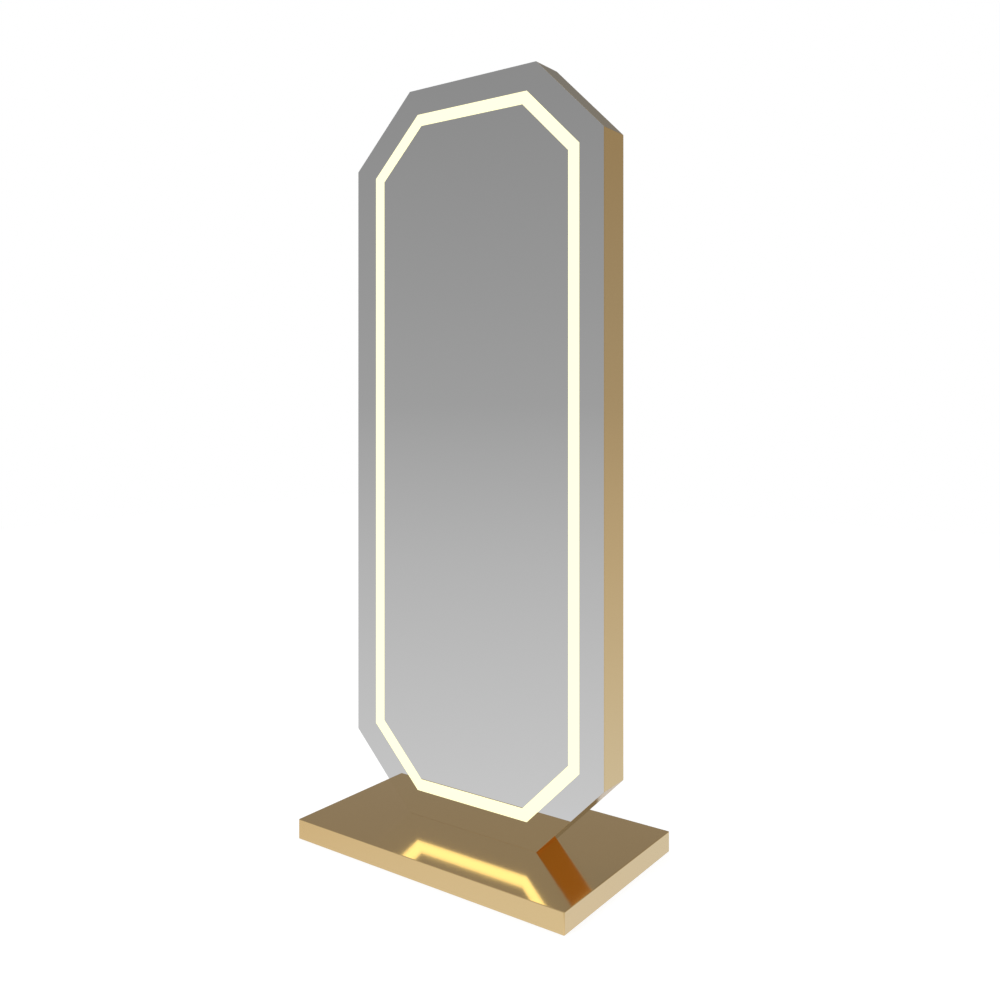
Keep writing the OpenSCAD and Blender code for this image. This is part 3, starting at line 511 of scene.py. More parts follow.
def mitred_sweep_tree():
    """Sweeps a section round the panel's eight sides, with true mitres at its corners.

    A point of the section holds its inset from the panel's edge in X and its depth in Y, and
    its radius is the rounding that it gets.
    """
    tree = ShapeTree("mitred_sweep")
    given = tree.takes({
        "Section": "Object", **PANEL_SHAPE, "Fold": 1.2 * MM, "Fold Steps": 5, "Edge Steps": 3,
        "Material": "Material"})
    sheet = tree.out("GeometryNodeCurvePrimitiveQuadrilateral", "Curve",
                     {"Width": given["Width"], "Height": given["Height"]}, mode="RECTANGLE")
    eight = tree.filleted(sheet, 1, given["Corner Leg"])
    place = tree.out("GeometryNodeInputPosition", "Position")
    tangent = tree.out("GeometryNodeInputTangent", "Tangent")
    side = tree.vector("CROSS_PRODUCT", UP, tangent)
    inward = tree.math("MULTIPLY", tree.math("SIGN", tree.vector("DOT_PRODUCT", place, side)), -1)
    mitre = tree.scaled(tree.scaled(side, inward), 1 / math.cos(MITRE))
    mitred = tree.keeping(eight, "mitre", mitre)
    folded = tree.filleted(mitred, given["Fold Steps"], given["Fold"])
    rail = tree.keeping(folded, "rail", place)
    drawn = tree.out("GeometryNodeObjectInfo", "Geometry", {"Object": given["Section"]})
    radius = tree.out("GeometryNodeInputRadius", "Radius")
    eased = tree.filleted(drawn, given["Edge Steps"], radius, limited=True)
    section = tree.keeping(eased, "section", place)
    swept = tree.out("GeometryNodeCurveToMesh", "Mesh", {"Curve": rail, "Profile Curve": section})
    inset = tree.add("ShaderNodeSeparateXYZ", {0: tree.kept("section")})
    flat = tree.vector("ADD", tree.kept("rail"),
                       tree.scaled(tree.kept("mitre"), inset.outputs["X"]))
    across = tree.add("ShaderNodeSeparateXYZ", {0: flat})
    up = tree.math("ADD", across.outputs["Y"], given["Middle Height"])
    stood = tree.out("ShaderNodeCombineXYZ", "Vector",
                     {"X": across.outputs["X"], "Y": inset.outputs["Y"], "Z": up})
    placed = tree.out("GeometryNodeSetPosition", "Geometry", {"Geometry": swept, "Position": stood})
    return tree.end(placed, given["Material"])


def swept_round(name, section, material, fold, fold_steps, edge_steps):
    """A ring of the panel: the section's points hold inset, depth and rounding."""
    curve = bpy.data.curves.new(name + "_section", "CURVE")
    curve.dimensions = "3D"
    spline = curve.splines.new("POLY")
    spline.points.add(len(section) - 1)
    spline.use_cyclic_u = True
    for point, (inset, depth, rounding) in zip(spline.points, section):
        point.co = (inset, depth, 0, 1)
        point.radius = rounding
    helper = new_object(name + "_section", curve)
    piece = new_object(name, bpy.data.meshes.new(name))
    tree = bpy.data.node_groups.get("mitred_sweep") or mitred_sweep_tree()
    grow(piece, tree, {
        "Section": helper, **PANEL_SHAPE, "Fold": fold, "Fold Steps": fold_steps,
        "Edge Steps": edge_steps, "Material": material})
    return settle(piece, helper)


# Seed of the turns that the screws are left at
TURN_SEED = 7


def repeat_tree():
    """Sets one object on every point of the mesh, each turned a little way about an axis."""
    tree = ShapeTree("set_on_points")
    given = tree.takes({
        "Geometry": "Geometry", "Repeated": "Object", "Turn Axis": (0.0, 0.0, 1.0),
        "Most Turn": 0.0, "Seed": TURN_SEED, "Material": "Material"})
    shape = tree.out("GeometryNodeObjectInfo", "Geometry", {"Object": given["Repeated"]})
    turn = tree.out("FunctionNodeRandomValue", "Value",
                    {"Min": 0.0, "Max": given["Most Turn"], "Seed": given["Seed"]},
                    data_type="FLOAT")
    spin = tree.out("FunctionNodeEulerToRotation", "Rotation",
                    {0: tree.scaled(given["Turn Axis"], turn)})
    spread = tree.out("GeometryNodeInstanceOnPoints", "Instances",
                      {"Points": given["Geometry"], "Instance": shape, "Rotation": spin})
    return tree.end(spread, given["Material"])


def repeated(name, places, shape, material, axis=UP, most_turn=0.0):
    """Copies of a shape at places, as one piece."""
    mesh = bpy.data.meshes.new(name)
    mesh.from_pydata([tuple(p) for p in places], [], [])
    piece = new_object(name, mesh)
    tree = bpy.data.node_groups.get("set_on_points") or repeat_tree()
    grow(piece, tree, {
        "Repeated": shape, "Turn Axis": tuple(axis), "Most Turn": most_turn,
        "Seed": TURN_SEED, "Material": material})
    return settle(piece, shape)


def vent_tree():
    """Cuts rows of slots with round ends, and one more shape, out of a plate."""
    tree = ShapeTree("vent_slots")
    given = tree.takes({
        "Geometry": "Geometry", "Rows": "Object", "Other Cuts": "Object", "Length": 70 * MM,
        "Width": 4 * MM, "Pitch": 11 * MM, "Count": 7, "Depth": 10 * MM, "Material": "Material"})
    box = tree.out("GeometryNodeCurvePrimitiveQuadrilateral", "Curve",
                   {"Width": given["Length"], "Height": given["Width"]}, mode="RECTANGLE")
    # A hair under half the width, so that the two corners of an end stay apart
    end_radius = tree.math("MULTIPLY", given["Width"], 0.499)
    end_steps = 7
    slot = tree.filleted(box, end_steps, end_radius)
    deep = tree.out("ShaderNodeCombineXYZ", "Vector", {"Z": given["Depth"]})
    rail = tree.out("GeometryNodeCurvePrimitiveLine", "Curve",
                    {"Start": tree.scaled(deep, -0.5), "End": tree.scaled(deep, 0.5)})
    cutter = tree.out("GeometryNodeCurveToMesh", "Mesh",
                      {"Curve": rail, "Profile Curve": slot, "Fill Caps": True})
    turned = tree.out("GeometryNodeTransform", "Geometry",
                      {"Geometry": cutter, "Rotation": (math.radians(90), 0, 0)})
    step = tree.out("ShaderNodeCombineXYZ", "Vector", {"Z": given["Pitch"]})
    count = tree.math("SUBTRACT", given["Count"], 1)
    first = tree.scaled(tree.scaled(step, count), -0.5)
    column = tree.out("GeometryNodeMeshLine", "Mesh",
                      {"Count": given["Count"], "Start Location": first, "Offset": step},
                      mode="OFFSET")
    group = tree.out("GeometryNodeInstanceOnPoints", "Instances",
                     {"Points": column, "Instance": turned})
    rows = tree.out("GeometryNodeObjectInfo", "Geometry", {"Object": given["Rows"]})
    groups = tree.out("GeometryNodeInstanceOnPoints", "Instances",
                      {"Points": rows, "Instance": group})
    other = tree.out("GeometryNodeObjectInfo", "Geometry", {"Object": given["Other Cuts"]})
    cuts = tree.add("GeometryNodeJoinGeometry")
    for part in (groups, other):
        tree.tree.links.new(part, cuts.inputs["Geometry"])
    real = tree.out("GeometryNodeRealizeInstances", "Geometry",
                    {"Geometry": cuts.outputs["Geometry"]})
    cut = tree.out("GeometryNodeMeshBoolean", "Mesh",
                   {"Mesh 1": given["Geometry"], "Mesh 2": real}, operation="DIFFERENCE")
    return tree.end(cut, given["Material"])


class Finish(NodeMaker):
    """A procedural material: a principled shader whose inputs vary over the surface."""

    def __init__(self, name, colour, roughness, metallic=0.0):
        self.material = bpy.data.materials.new(name)
        self.material.use_nodes = True
        super().__init__(self.material.node_tree)
        self.shader = self.tree.nodes["Principled BSDF"]
        self.shader.inputs["Base Color"].default_value = (*colour, 1)
        self.shader.inputs["Roughness"].default_value = roughness
        self.shader.inputs["Metallic"].default_value = metallic
        self.place = self.out("ShaderNodeTexCoord", "Object")

    def noise(self, scale, detail=3.0, roughness=0.5, stretch=(1, 1, 1)):
        """Soft noise from 0 to 1, with that many waves to the metre."""
        place = self.out("ShaderNodeMapping", "Vector", {"Vector": self.place, "Scale": stretch})
        return self.out("ShaderNodeTexNoise", "Fac",
                        {"Vector": place, "Scale": scale, "Detail": detail,
                         "Roughness": roughness})

    def drive(self, name, value):
        """Joins a value to the shader's input of that name."""
        self.tree.links.new(value, self.shader.inputs[name])

    def between(self, noise, low, high):
        """Maps the range that noise mostly keeps to, to another."""
        return self.ranged(noise, 0.3, 0.7, low, high)

    def tint(self, noise, first, second):
        """Lets the colour vary between two."""
        share = self.between(noise, 0, 1)
        self.drive("Base Color", self.mixed(share, (*first, 1), (*second, 1)))

    def rough(self, noise, low, high):
        """Lets the roughness vary between two values."""
        self.drive("Roughness", self.between(noise, low, high))

    def bump(self, noise, distance):
        """Raises the surface by the noise times a distance."""
        self.drive("Normal", self.out("ShaderNodeBump", "Normal", {
            "Height": noise, "Distance": distance, "Strength": 1.0}))


def shifted(colour, factor):
    """A colour made lighter or darker."""
    return tuple(min(1.0, c * factor) for c in colour)


def polished_gold(finishes):
    """Gold-coated steel polished to a mirror, with faint polishing marks."""
    made = Finish("polished_gold", finishes.gold, finishes.gold_roughness, metallic=1.0)
    made.tint(made.noise(3.0, detail=2), shifted(finishes.gold, 0.985), finishes.gold)
    marks = made.noise(260, detail=4, stretch=(0.06, 1, 1))
    made.rough(marks, finishes.gold_roughness, finishes.gold_roughness * 1.15)
    made.bump(made.noise(5, detail=1), 0.02 * MM)
    return made.material


def silvered_glass(finishes):
    """Mirror glass, clean but for a trace of wiping."""
    made = Finish("silvered_glass", finishes.silver, 0.0, metallic=1.0)
    wiped = made.noise(4, detail=5, roughness=0.6, stretch=(1, 1, 0.25))
    made.rough(wiped, 0.0, 0.012)
    return made.material


def glass_edge(finishes):
    """Ground edge of the mirror glass, sealed with gold lacquer."""
    made = Finish("glass_edge", finishes.gold, 0.16, metallic=1.0)
    grind = made.noise(900, detail=2, stretch=(1, 0.2, 1))
    made.tint(grind, shifted(finishes.gold, 0.9), finishes.gold)
    made.rough(grind, 0.12, 0.22)
    return made.material


def lit_acrylic(finishes):
    """Opal acrylic lit from behind, which shows almost nothing but its own light."""
    opal = shifted(finishes.glow, 0.03)
    made = Finish("lit_acrylic", opal, 0.35)
    made.shader.inputs["Emission Color"].default_value = (*finishes.glow, 1)
    made.shader.inputs["Emission Strength"].default_value = finishes.glow_strength
    made.tint(made.noise(14, detail=2), shifted(opal, 0.7), opal)
    made.bump(made.noise(1500, detail=1), 0.004 * MM)
    return made.material


def powder_coat(name, colour):
    """Fine-textured powder coat on steel sheet."""
    made = Finish(name, colour, 0.5)
    cloud = made.noise(5, detail=4, roughness=0.6)
    made.tint(cloud, shifted(colour, 0.82), shifted(colour, 1.25))
    made.rough(cloud, 0.42, 0.56)
    made.bump(made.noise(700, detail=2), 0.05 * MM)
    return made.material


def plated_steel(name, colour, roughness):
    """Zinc-plated or mill-finish metal, with drawn lines and spangle."""
    made = Finish(name, colour, roughness, metallic=1.0)
    lines = made.noise(420, detail=3, stretch=(1, 1, 0.12))
    spangle = made.noise(60, detail=3, roughness=0.7)
    made.tint(spangle, shifted(colour, 0.88), shifted(colour, 1.06))
    made.rough(lines, roughness * 0.8, roughness * 1.3)
    made.bump(lines, 0.01 * MM)
    return made.material


def moulded(name, colour, roughness, grain=900, depth=0.03 * MM):
    """Moulded plastic or rubber with a fine grain."""
    made = Finish(name, colour, roughness)
    fine = made.noise(grain, detail=2)
    made.tint(made.noise(35, detail=3), shifted(colour, 0.9), shifted(colour, 1.1))
    made.rough(fine, roughness * 0.9, roughness * 1.12)
    made.bump(fine, depth)
    return made.material


def primed_steel():
    """Welded tube in grey primer, with a thin, uneven coat."""
    made = Finish("primed_steel", (0.16, 0.17, 0.18), 0.5)
    coat = made.noise(25, detail=5, roughness=0.65)
    made.tint(coat, (0.12, 0.125, 0.13), (0.19, 0.20, 0.21))
    made.rough(coat, 0.4, 0.62)
    made.bump(made.noise(500, detail=2), 0.03 * MM)
    return made.material


def fibreboard():
    """Sanded fibreboard: a fine felt of darker and lighter fibres."""
    made = Finish("fibreboard", (0.46, 0.31, 0.18), 0.85)
    fibres = made.noise(650, detail=4, roughness=0.7)
    made.tint(fibres, (0.36, 0.235, 0.13), (0.54, 0.38, 0.235))
    made.rough(fibres, 0.8, 0.92)
    made.bump(fibres, 0.04 * MM)
    return made.material


def foam():
    """Closed-cell foam: a skin of small cells."""
    made = Finish("closed_cell_foam", (0.05, 0.05, 0.05), 0.9)
    cells = made.out("ShaderNodeTexVoronoi", "Distance", {"Vector": made.place, "Scale": 700.0})
    made.tint(cells, (0.03, 0.03, 0.03), (0.07, 0.07, 0.07))
    made.bump(cells, 0.1 * MM)
    return made.material


def material(name, make, *given):
    """The material of that name, made the first time that it is asked for."""
    return bpy.data.materials.get(name) or make(*given)


def gold_material(context):
    """The casing's and the base's gold."""
    return material("polished_gold", polished_gold, context.scene.salon_finishes)


def powder_material(context):
    """The back cover's powder coat."""
    colour = tuple(context.scene.salon_finishes.powder)
    return material("black_powder_coat", powder_coat, "black_powder_coat", colour)


def zinc_material():
    """The zinc plate of the screws."""
    return material("zinc_plate", plated_steel, "zinc_plate", (0.66, 0.67, 0.68), 0.28)


def rubber_material():
    """The rubber of the feet and the gland's seal."""
    return material("black_rubber", moulded, "black_rubber", (0.022, 0.022, 0.022), 0.7)


def nylon_material():
    """The nylon of the gland."""
    return material("black_nylon", moulded, "black_nylon", (0.03, 0.03, 0.032), 0.42, 700)


class SALON_OT_gold_casing(bpy.types.Operator):
    """Fold the gold sheet round the panel"""

    bl_idname = "salon.gold_casing"
    bl_label = "Gold casing"

    def execute(self, context):
        sizes = context.scene.salon_sizes
        sheet, burr, fold = sizes.sheet, sizes.burr, sizes.fold
        front, back = PANEL_LOW.y, PANEL_HIGH.y
        reach = sheet + sizes.flange
        section = [
            (0, front, burr), (0, back, fold), (reach, back, burr), (reach, back - sheet, burr),
            (sheet, back - sheet, burr), (sheet, front, burr),
        ]
        gold = gold_material(context)
        piece = swept_round("gold_casing", section, gold, fold, sizes.fold_steps, 4)
        finished(piece, None, "gold_steel", MIRROR, "casing_wrap", "casing_flange")
        return {"FINISHED"}


def glass_faces(piece, silver, edge):
    """Silver on the faces and arrises that look forwards or backwards, and its edge on the rest."""
    mesh = piece.data
    mesh.materials.clear()
    mesh.materials.append(silver)
    mesh.materials.append(edge)
    least_forward = 0.3
    for face in mesh.polygons:
        face.material_index = 0 if abs(face.normal.y) > least_forward else 1


class SALON_OT_mirror_face(bpy.types.Operator):
    """Lay the two glasses of the mirror, with ground edges"""

    bl_idname = "salon.mirror_face"
    bl_label = "Mirror glass"

    def execute(self, context):
        sizes, finishes = context.scene.salon_sizes, context.scene.salon_finishes
        arris = sizes.arris
        silver = material("silvered_glass", silvered_glass, finishes)
        edge = material("glass_edge", glass_edge, finishes)
        outer, inner = min(GLASS_SET, sizes.overhang), BAND_INSET - sizes.joint
        section = [(outer, FACE_Y, arris), (outer, GLASS_BACK_Y, arris),
                   (inner, GLASS_BACK_Y, arris), (inner, FACE_Y, arris)]
        border = swept_round("mirror_border", section, silver, 2 * arris, 2, 1)
        rows = [(MIDDLE_INSET + arris, FACE_Y), (MIDDLE_INSET, FACE_Y + arris),
                (MIDDLE_INSET, GLASS_BACK_Y - arris), (MIDDLE_INSET + arris, GLASS_BACK_Y)]
        middle = skin("mirror_middle", [at_depth(octagon(i, 2 * arris, 2), y) for i, y in rows])
        for glass, node in ((border, "mirror_surround"), (middle, "mirror_centre")):
            glass_faces(glass, silver, edge)
            finished(glass, None, "mirror_glass", MIRROR, node)
        return {"FINISHED"}


class SALON_OT_light_band(bpy.types.Operator):
    """Set the opal strip flush between the glasses"""

    bl_idname = "salon.light_band"
    bl_label = "Light band"

    def execute(self, context):
        sizes = context.scene.salon_sizes
        edge = sizes.arris / 2
        outer, inner = BAND_INSET, MIDDLE_INSET - sizes.joint
        lip_out, lip_in = LIP_INSET, inner + BAND_INSET - LIP_INSET
        rear = GLASS_BACK_Y + sizes.lip
        section = [
            (outer, FACE_Y, edge), (outer, GLASS_BACK_Y, 0), (lip_out, GLASS_BACK_Y, edge),
            (lip_out, rear, edge), (lip_in, rear, edge), (lip_in, GLASS_BACK_Y, edge),
            (inner, GLASS_BACK_Y, 0), (inner, FACE_Y, edge),
        ]
        glow = material("lit_acrylic", lit_acrylic, context.scene.salon_finishes)
        band = swept_round("light_band", section, glow, 2 * edge, 2, 2)
        finished(band, None, "opal_acrylic", MIRROR, "light_diffuser")
        return {"FINISHED"}


class SALON_OT_gold_base(bpy.types.Operator):
    """Fold the gold top and skirt of the base"""

    bl_idname = "salon.gold_base"
    bl_label = "Gold base"

    def execute(self, context):
        sizes = context.scene.salon_sizes
        sheet, fold, burr = sizes.sheet, sizes.fold, sizes.burr
        low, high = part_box("base_cover")
        width, depth = high.x - low.x, high.y - low.y

        def ring(inset, z):
            corner = max(fold + sheet - inset, burr)
            return at_height(rectangle(width - 2 * inset, depth - 2 * inset, corner, 5), z)

        def rim(out, start, end):
            return [ring(out - x, z) for x, z in arc((0, low.z + burr), burr, start, end, 3)]

        over_edge = [ring(fold - x, z) for x, z in arc((0, high.z - fold), fold, 0, 90, 5)]
        under = [ring(sheet + fold, high.z - sheet), ring(sheet, high.z - sheet - fold)]
        loops = under + rim(sheet - burr, -180, -90) + rim(burr, -90, 0) + over_edge
        base = skin("gold_base", loops)
        finished(base, gold_material(context), "gold_steel", MIRROR, "base_cover")
        return {"FINISHED"}


def service_cuts():
    """Cutters for the gland's hole and the switch's cut-out in the back cover."""
    low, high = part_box("back_cover")
    beyond, play, corner = 4 * MM, 0.2 * MM, 0.5 * MM
    hole = circular(GLAND_THREAD + play, 32)
    cut_out = rectangle(*(side + 2 * play for side in SWITCH_BODY), corner)
    made = []
    for outline, node in ((hole, "gland_body"), (cut_out, "switch_body")):
        middle = sum(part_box(node), Vector()) / 2
        loops = [[(middle.x + x, y, middle.z + z) for x, z in outline]
                 for y in (low.y - beyond, high.y + beyond)]
        made.append(skin("service_cut", loops))
    return joined("service_cuts", made)


class SALON_OT_rear_cover(bpy.types.Operator):
    """Cut the back cover, with its vents and service holes"""

    bl_idname = "salon.rear_cover"
    bl_label = "Back cover"

    def execute(self, context):
        sizes = context.scene.salon_sizes
        low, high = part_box("back_cover")
        outline = octagon(COVER_INSET, sizes.fold)
        cover = skin("rear_cover", [at_depth(outline, low.y), at_depth(outline, high.y)])
        rows = bpy.data.meshes.new("vent_rows")
        rows.from_pydata([(0, high.y, z) for z in vent_heights()], [], [])
        helpers = [new_object("vent_rows", rows), service_cuts()]
        coat = powder_material(context)
        tree = bpy.data.node_groups.get("vent_slots") or vent_tree()
        grow(cover, tree, {
            "Rows": helpers[0], "Other Cuts": helpers[1], "Length": sizes.vent_length,
            "Width": sizes.vent_width, "Pitch": sizes.vent_pitch, "Count": sizes.vent_count,
            "Depth": 10 * MM, "Material": coat})
        rounding = cover.modifiers.new("rounding", "BEVEL")
        rounding.width = 0.35 * MM
        rounding.segments = 2
        rounding.limit_method = "ANGLE"
        settle(cover, *helpers)
        finished(cover, coat, "black_steel", MIRROR, "back_cover")
        return {"FINISHED"}


def vent_heights():
    """Heights of the middles of the vent groups, from the cover's own slots.

    The slots are all that the cover has near its middle, above the switch and the gland and
    below its upper rim.
    """
    low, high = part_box("back_cover")
    near_middle, service, rim = 60 * MM, 120 * MM, 30 * MM
    inside = sorted({round(v.co.z, 5) for v in frame["nodes"]["back_cover"].data.vertices
                     if abs(v.co.x) < near_middle and low.z + service < v.co.z < high.z - rim})
    gap = max(range(1, len(inside)), key=lambda i: inside[i] - inside[i - 1])
    groups = inside[:gap], inside[gap:]
    return [(group[0] + group[-1]) / 2 for group in groups]


def screw(name, head_r, head_t, shank_r, shank_l):
    """Pan-head screw with a hexagon socket, its seat at the origin and its head upwards."""
    crown = 0.55 * head_t
    point = 0.6 * shank_r
    socket, mouth = 1.05 * head_r, 1.08
    floor = 0.45 * head_t
    shank = [(point, -shank_l), (shank_r, point - shank_l), (shank_r, 0), (head_r, 0)]
    head = arc((head_r - crown, head_t - crown), crown, 0, 80, 6)
    recess = [(mouth * socket, head_t), (socket, 0.96 * head_t), (socket, floor),
              (0.2 * socket, 0.8 * floor)]
    return skin(name, [at_height(circular(r), z) for r, z in shank + head]
                + [at_height(hexagonal(flats), z) for flats, z in recess])


class SALON_OT_screws(bpy.types.Operator):
    """Drive the screws of the back cover and the feet"""

    bl_idname = "salon.screws"
    bl_label = "Screws"

    def execute(self, context):
        most_turn = math.radians(60)
        cover_shank, foot_shank, foot_head = 2 * MM, 2.5 * MM, 0.4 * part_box("rubber_feet")[1].z
        zinc = zinc_material()

        solids = solids_of("cover_screws")
        low, high = solids[0]
        one = screw("cover_screw", (high.x - low.x) / 2, high.y - COVER_BACK_Y, cover_shank,
                    COVER_BACK_Y - low.y)
        moved(one, TO_BACK)
        places = set_at(solids, 1, COVER_BACK_Y)
        piece = repeated("cover_screw_set", places, one, zinc, BACK, most_turn)
        finished(piece, None, "zinc_steel", MIRROR, "cover_screws")

        solids = solids_of("foot_screws")
        low, high = solids[0]
        one = screw("foot_screw", (high.x - low.x) / 2, foot_head, foot_shank,
                    high.z - low.z - foot_head)
        moved(one, Matrix.Rotation(math.pi, 4, "X"))
        places = set_at(solids, 2, low.z + foot_head)
        piece = repeated("foot_screw_set", places, one, zinc, UP, most_turn)
        finished(piece, None, "zinc_steel", MIRROR, "foot_screws")
        return {"FINISHED"}


class SALON_OT_feet(bpy.types.Operator):
    """Mould the rubber feet, with rings in their treads"""

    bl_idname = "salon.feet"
    bl_label = "Rubber feet"

    def execute(self, context):
        solids = solids_of("rubber_feet")
        low, high = solids[0]
        radius, tall = (high.x - low.x) / 2, high.z - low.z
        soft, edge, rim = 1.0 * MM, 0.3 * MM, 0.4 * MM
        well, hole, seat = 5.4 * MM, 2.8 * MM, tall / 2
        land, groove = 2.4 * MM, 0.7 * MM
        # A groove of the tread, inwards in shares of the land between two grooves
        tread, pitch = ((0, 0), (0.2, groove), (0.5, groove), (0.7, 0)), 1.7
        profile = [(hole, tall), (radius - edge, tall), (radius, tall - edge)]
        profile += arc((radius - soft, soft), soft, 0, -90, 4)
        r = radius - soft - land
        while r > well + 2 * land:
            profile += [(r - share * land, z) for share, z in tread]
            r -= pitch * land
        profile += [(well + rim, 0), (well, rim), (well, seat), (hole, seat)]
        foot = skin("foot", [at_height(circular(x, 48), z) for x, z in profile], closed=True)
        piece = repeated("foot_set", set_at(solids, 2, low.z), foot, rubber_material())
        finished(piece, None, "black_rubber", MIRROR, "rubber_feet")
        return {"FINISHED"}


def rocker_face(radius, dip, share):
    """A point on the rocker's hollowed face, outwards and upwards, at a share of its half."""
    tilt = math.tan(ROCKER_LEAN)
    tip = (math.sqrt((1 + tilt ** 2) * radius ** 2 - dip ** 2) - dip * tilt) / (1 + tilt ** 2)
    hollow = 1.4
    return dip + tip * tilt * abs(share) ** hollow, tip * share


def rocker_outline(radius, behind, dip, steps=8):
    """Side of the rocker about its pivot: outwards, then upwards, with a hollowed face."""
    reach, tip = rocker_face(radius, dip, 1)
    front = math.degrees(math.atan2(tip, reach))
    rear = math.degrees(math.acos(-behind / radius))
    face = [rocker_face(radius, dip, k / steps) for k in range(-steps + 1, steps)]
    return arc((0, 0), radius, -rear, -front, 6) + face + arc((0, 0), radius, front, rear, 6)


class SALON_OT_switch(bpy.types.Operator):
    """Fit the rocker switch, with its marks for on and off"""

    bl_idname = "salon.switch"
    bl_label = "Rocker switch"

    def execute(self, context):
        satin = material("switch_plastic", moulded, "switch_plastic", (0.020, 0.020, 0.022),
                         0.3, 1200, 0.01 * MM)
        white = material("mark_paint", moulded, "mark_paint", (0.8, 0.8, 0.78), 0.45)
        low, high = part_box("switch_body")
        middle = (low + high) / 2
        bezel, pocket = (high.x - low.x, high.z - low.z), (11 * MM, 17 * MM)
        soft, edge, mouth, deep = 0.5 * MM, 0.4 * MM, 0.2 * MM, 9 * MM
        corner, bezel_corner = 0.5 * MM, 1.2 * MM

        def ring(size, inset, rounding, y):
            outline = rectangle(size[0] - 2 * inset, size[1] - 2 * inset, rounding, 4)
            return [(middle.x + x, y, middle.z + z) for x, z in outline]

        lip = [ring(bezel, soft - x, bezel_corner, y)
               for x, y in arc((0, high.y - soft), soft, 0, 90, 4)]
        housing = skin("switch_housing", [
            ring(SWITCH_BODY, edge, corner, low.y), ring(SWITCH_BODY, 0, corner, low.y + edge),
            ring(SWITCH_BODY, 0, corner, COVER_BACK_Y), ring(bezel, 0, bezel_corner, COVER_BACK_Y),
            *lip, ring(pocket, -mouth, 0.6 * MM, high.y), ring(pocket, 0, corner, high.y - mouth),
            ring(pocket, 0, 0.4 * MM, high.y - deep),
        ])
        finished(housing, satin, "switch_plastic", MIRROR, "switch_body")

        pivot = Vector(frame["joints"][0]["pos_m"])
        lean = Matrix.Translation(pivot) @ Matrix.Rotation(ROCKER_LEAN, 4, "X")
        radius, behind, dip = 8.2 * MM, 4 * MM, 2.5 * MM
        half, ease = 5.2 * MM, 0.35 * MM
        outline = rocker_outline(radius, behind, dip)
        inner = 1 - ease / radius
        key = skin("switch_key", [
            [(x, a * factor, b * factor) for a, b in outline]
            for x, factor in ((-half, inner), (ease - half, 1), (half - ease, 1), (half, inner))])
        moved(key, lean)
        finished(key, satin, "switch_plastic", ROCKER, "switch_rocker")

        marks = switch_marks(radius, dip)
        moved(marks, lean)
        marks.data.materials.append(white)
        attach(marks, ROCKER)
        return {"FINISHED"}


def switch_marks(radius, dip):
    """A bar for on and a ring for off, on the two halves of the rocker's face."""
    share, slope = 0.55, math.radians(11)
    face_y, place = rocker_face(radius, dip, share)
    proud, sunk = 0.15 * MM, 0.4 * MM
    wide, tall, corner = 0.7 * MM, 3.2 * MM, 0.15 * MM
    outer, inner = 1.55 * MM, 1.05 * MM
    bar = rectangle(wide, tall, corner, 2)
    on = skin("mark_on", [at_depth(bar, y) for y in (-sunk, proud)])
    off = skin("mark_off", [at_depth(circular(r, 32), y) for r, y in (
        (outer, -sunk), (outer, proud), (inner, proud), (inner, -sunk))], closed=True)
    moved(on, Matrix.Translation((0, face_y, place)) @ Matrix.Rotation(-slope, 4, "X"))
    moved(off, Matrix.Translation((0, face_y, -place)) @ Matrix.Rotation(slope, 4, "X"))
    return joined("switch_marks", [on, off])


def flutes(width, count, depth, steps=72):
    """A hexagon across whose corners shallow flutes are cut, for grip."""
    points = []
    for k, (x, y) in enumerate(hexagonal(width, steps)):
        angle = 2 * math.pi * k / steps
        cut = depth * (0.5 - 0.5 * math.cos(count * angle))
        left = 1 - cut / math.hypot(x, y)
        points.append((x * left, y * left))
    return points


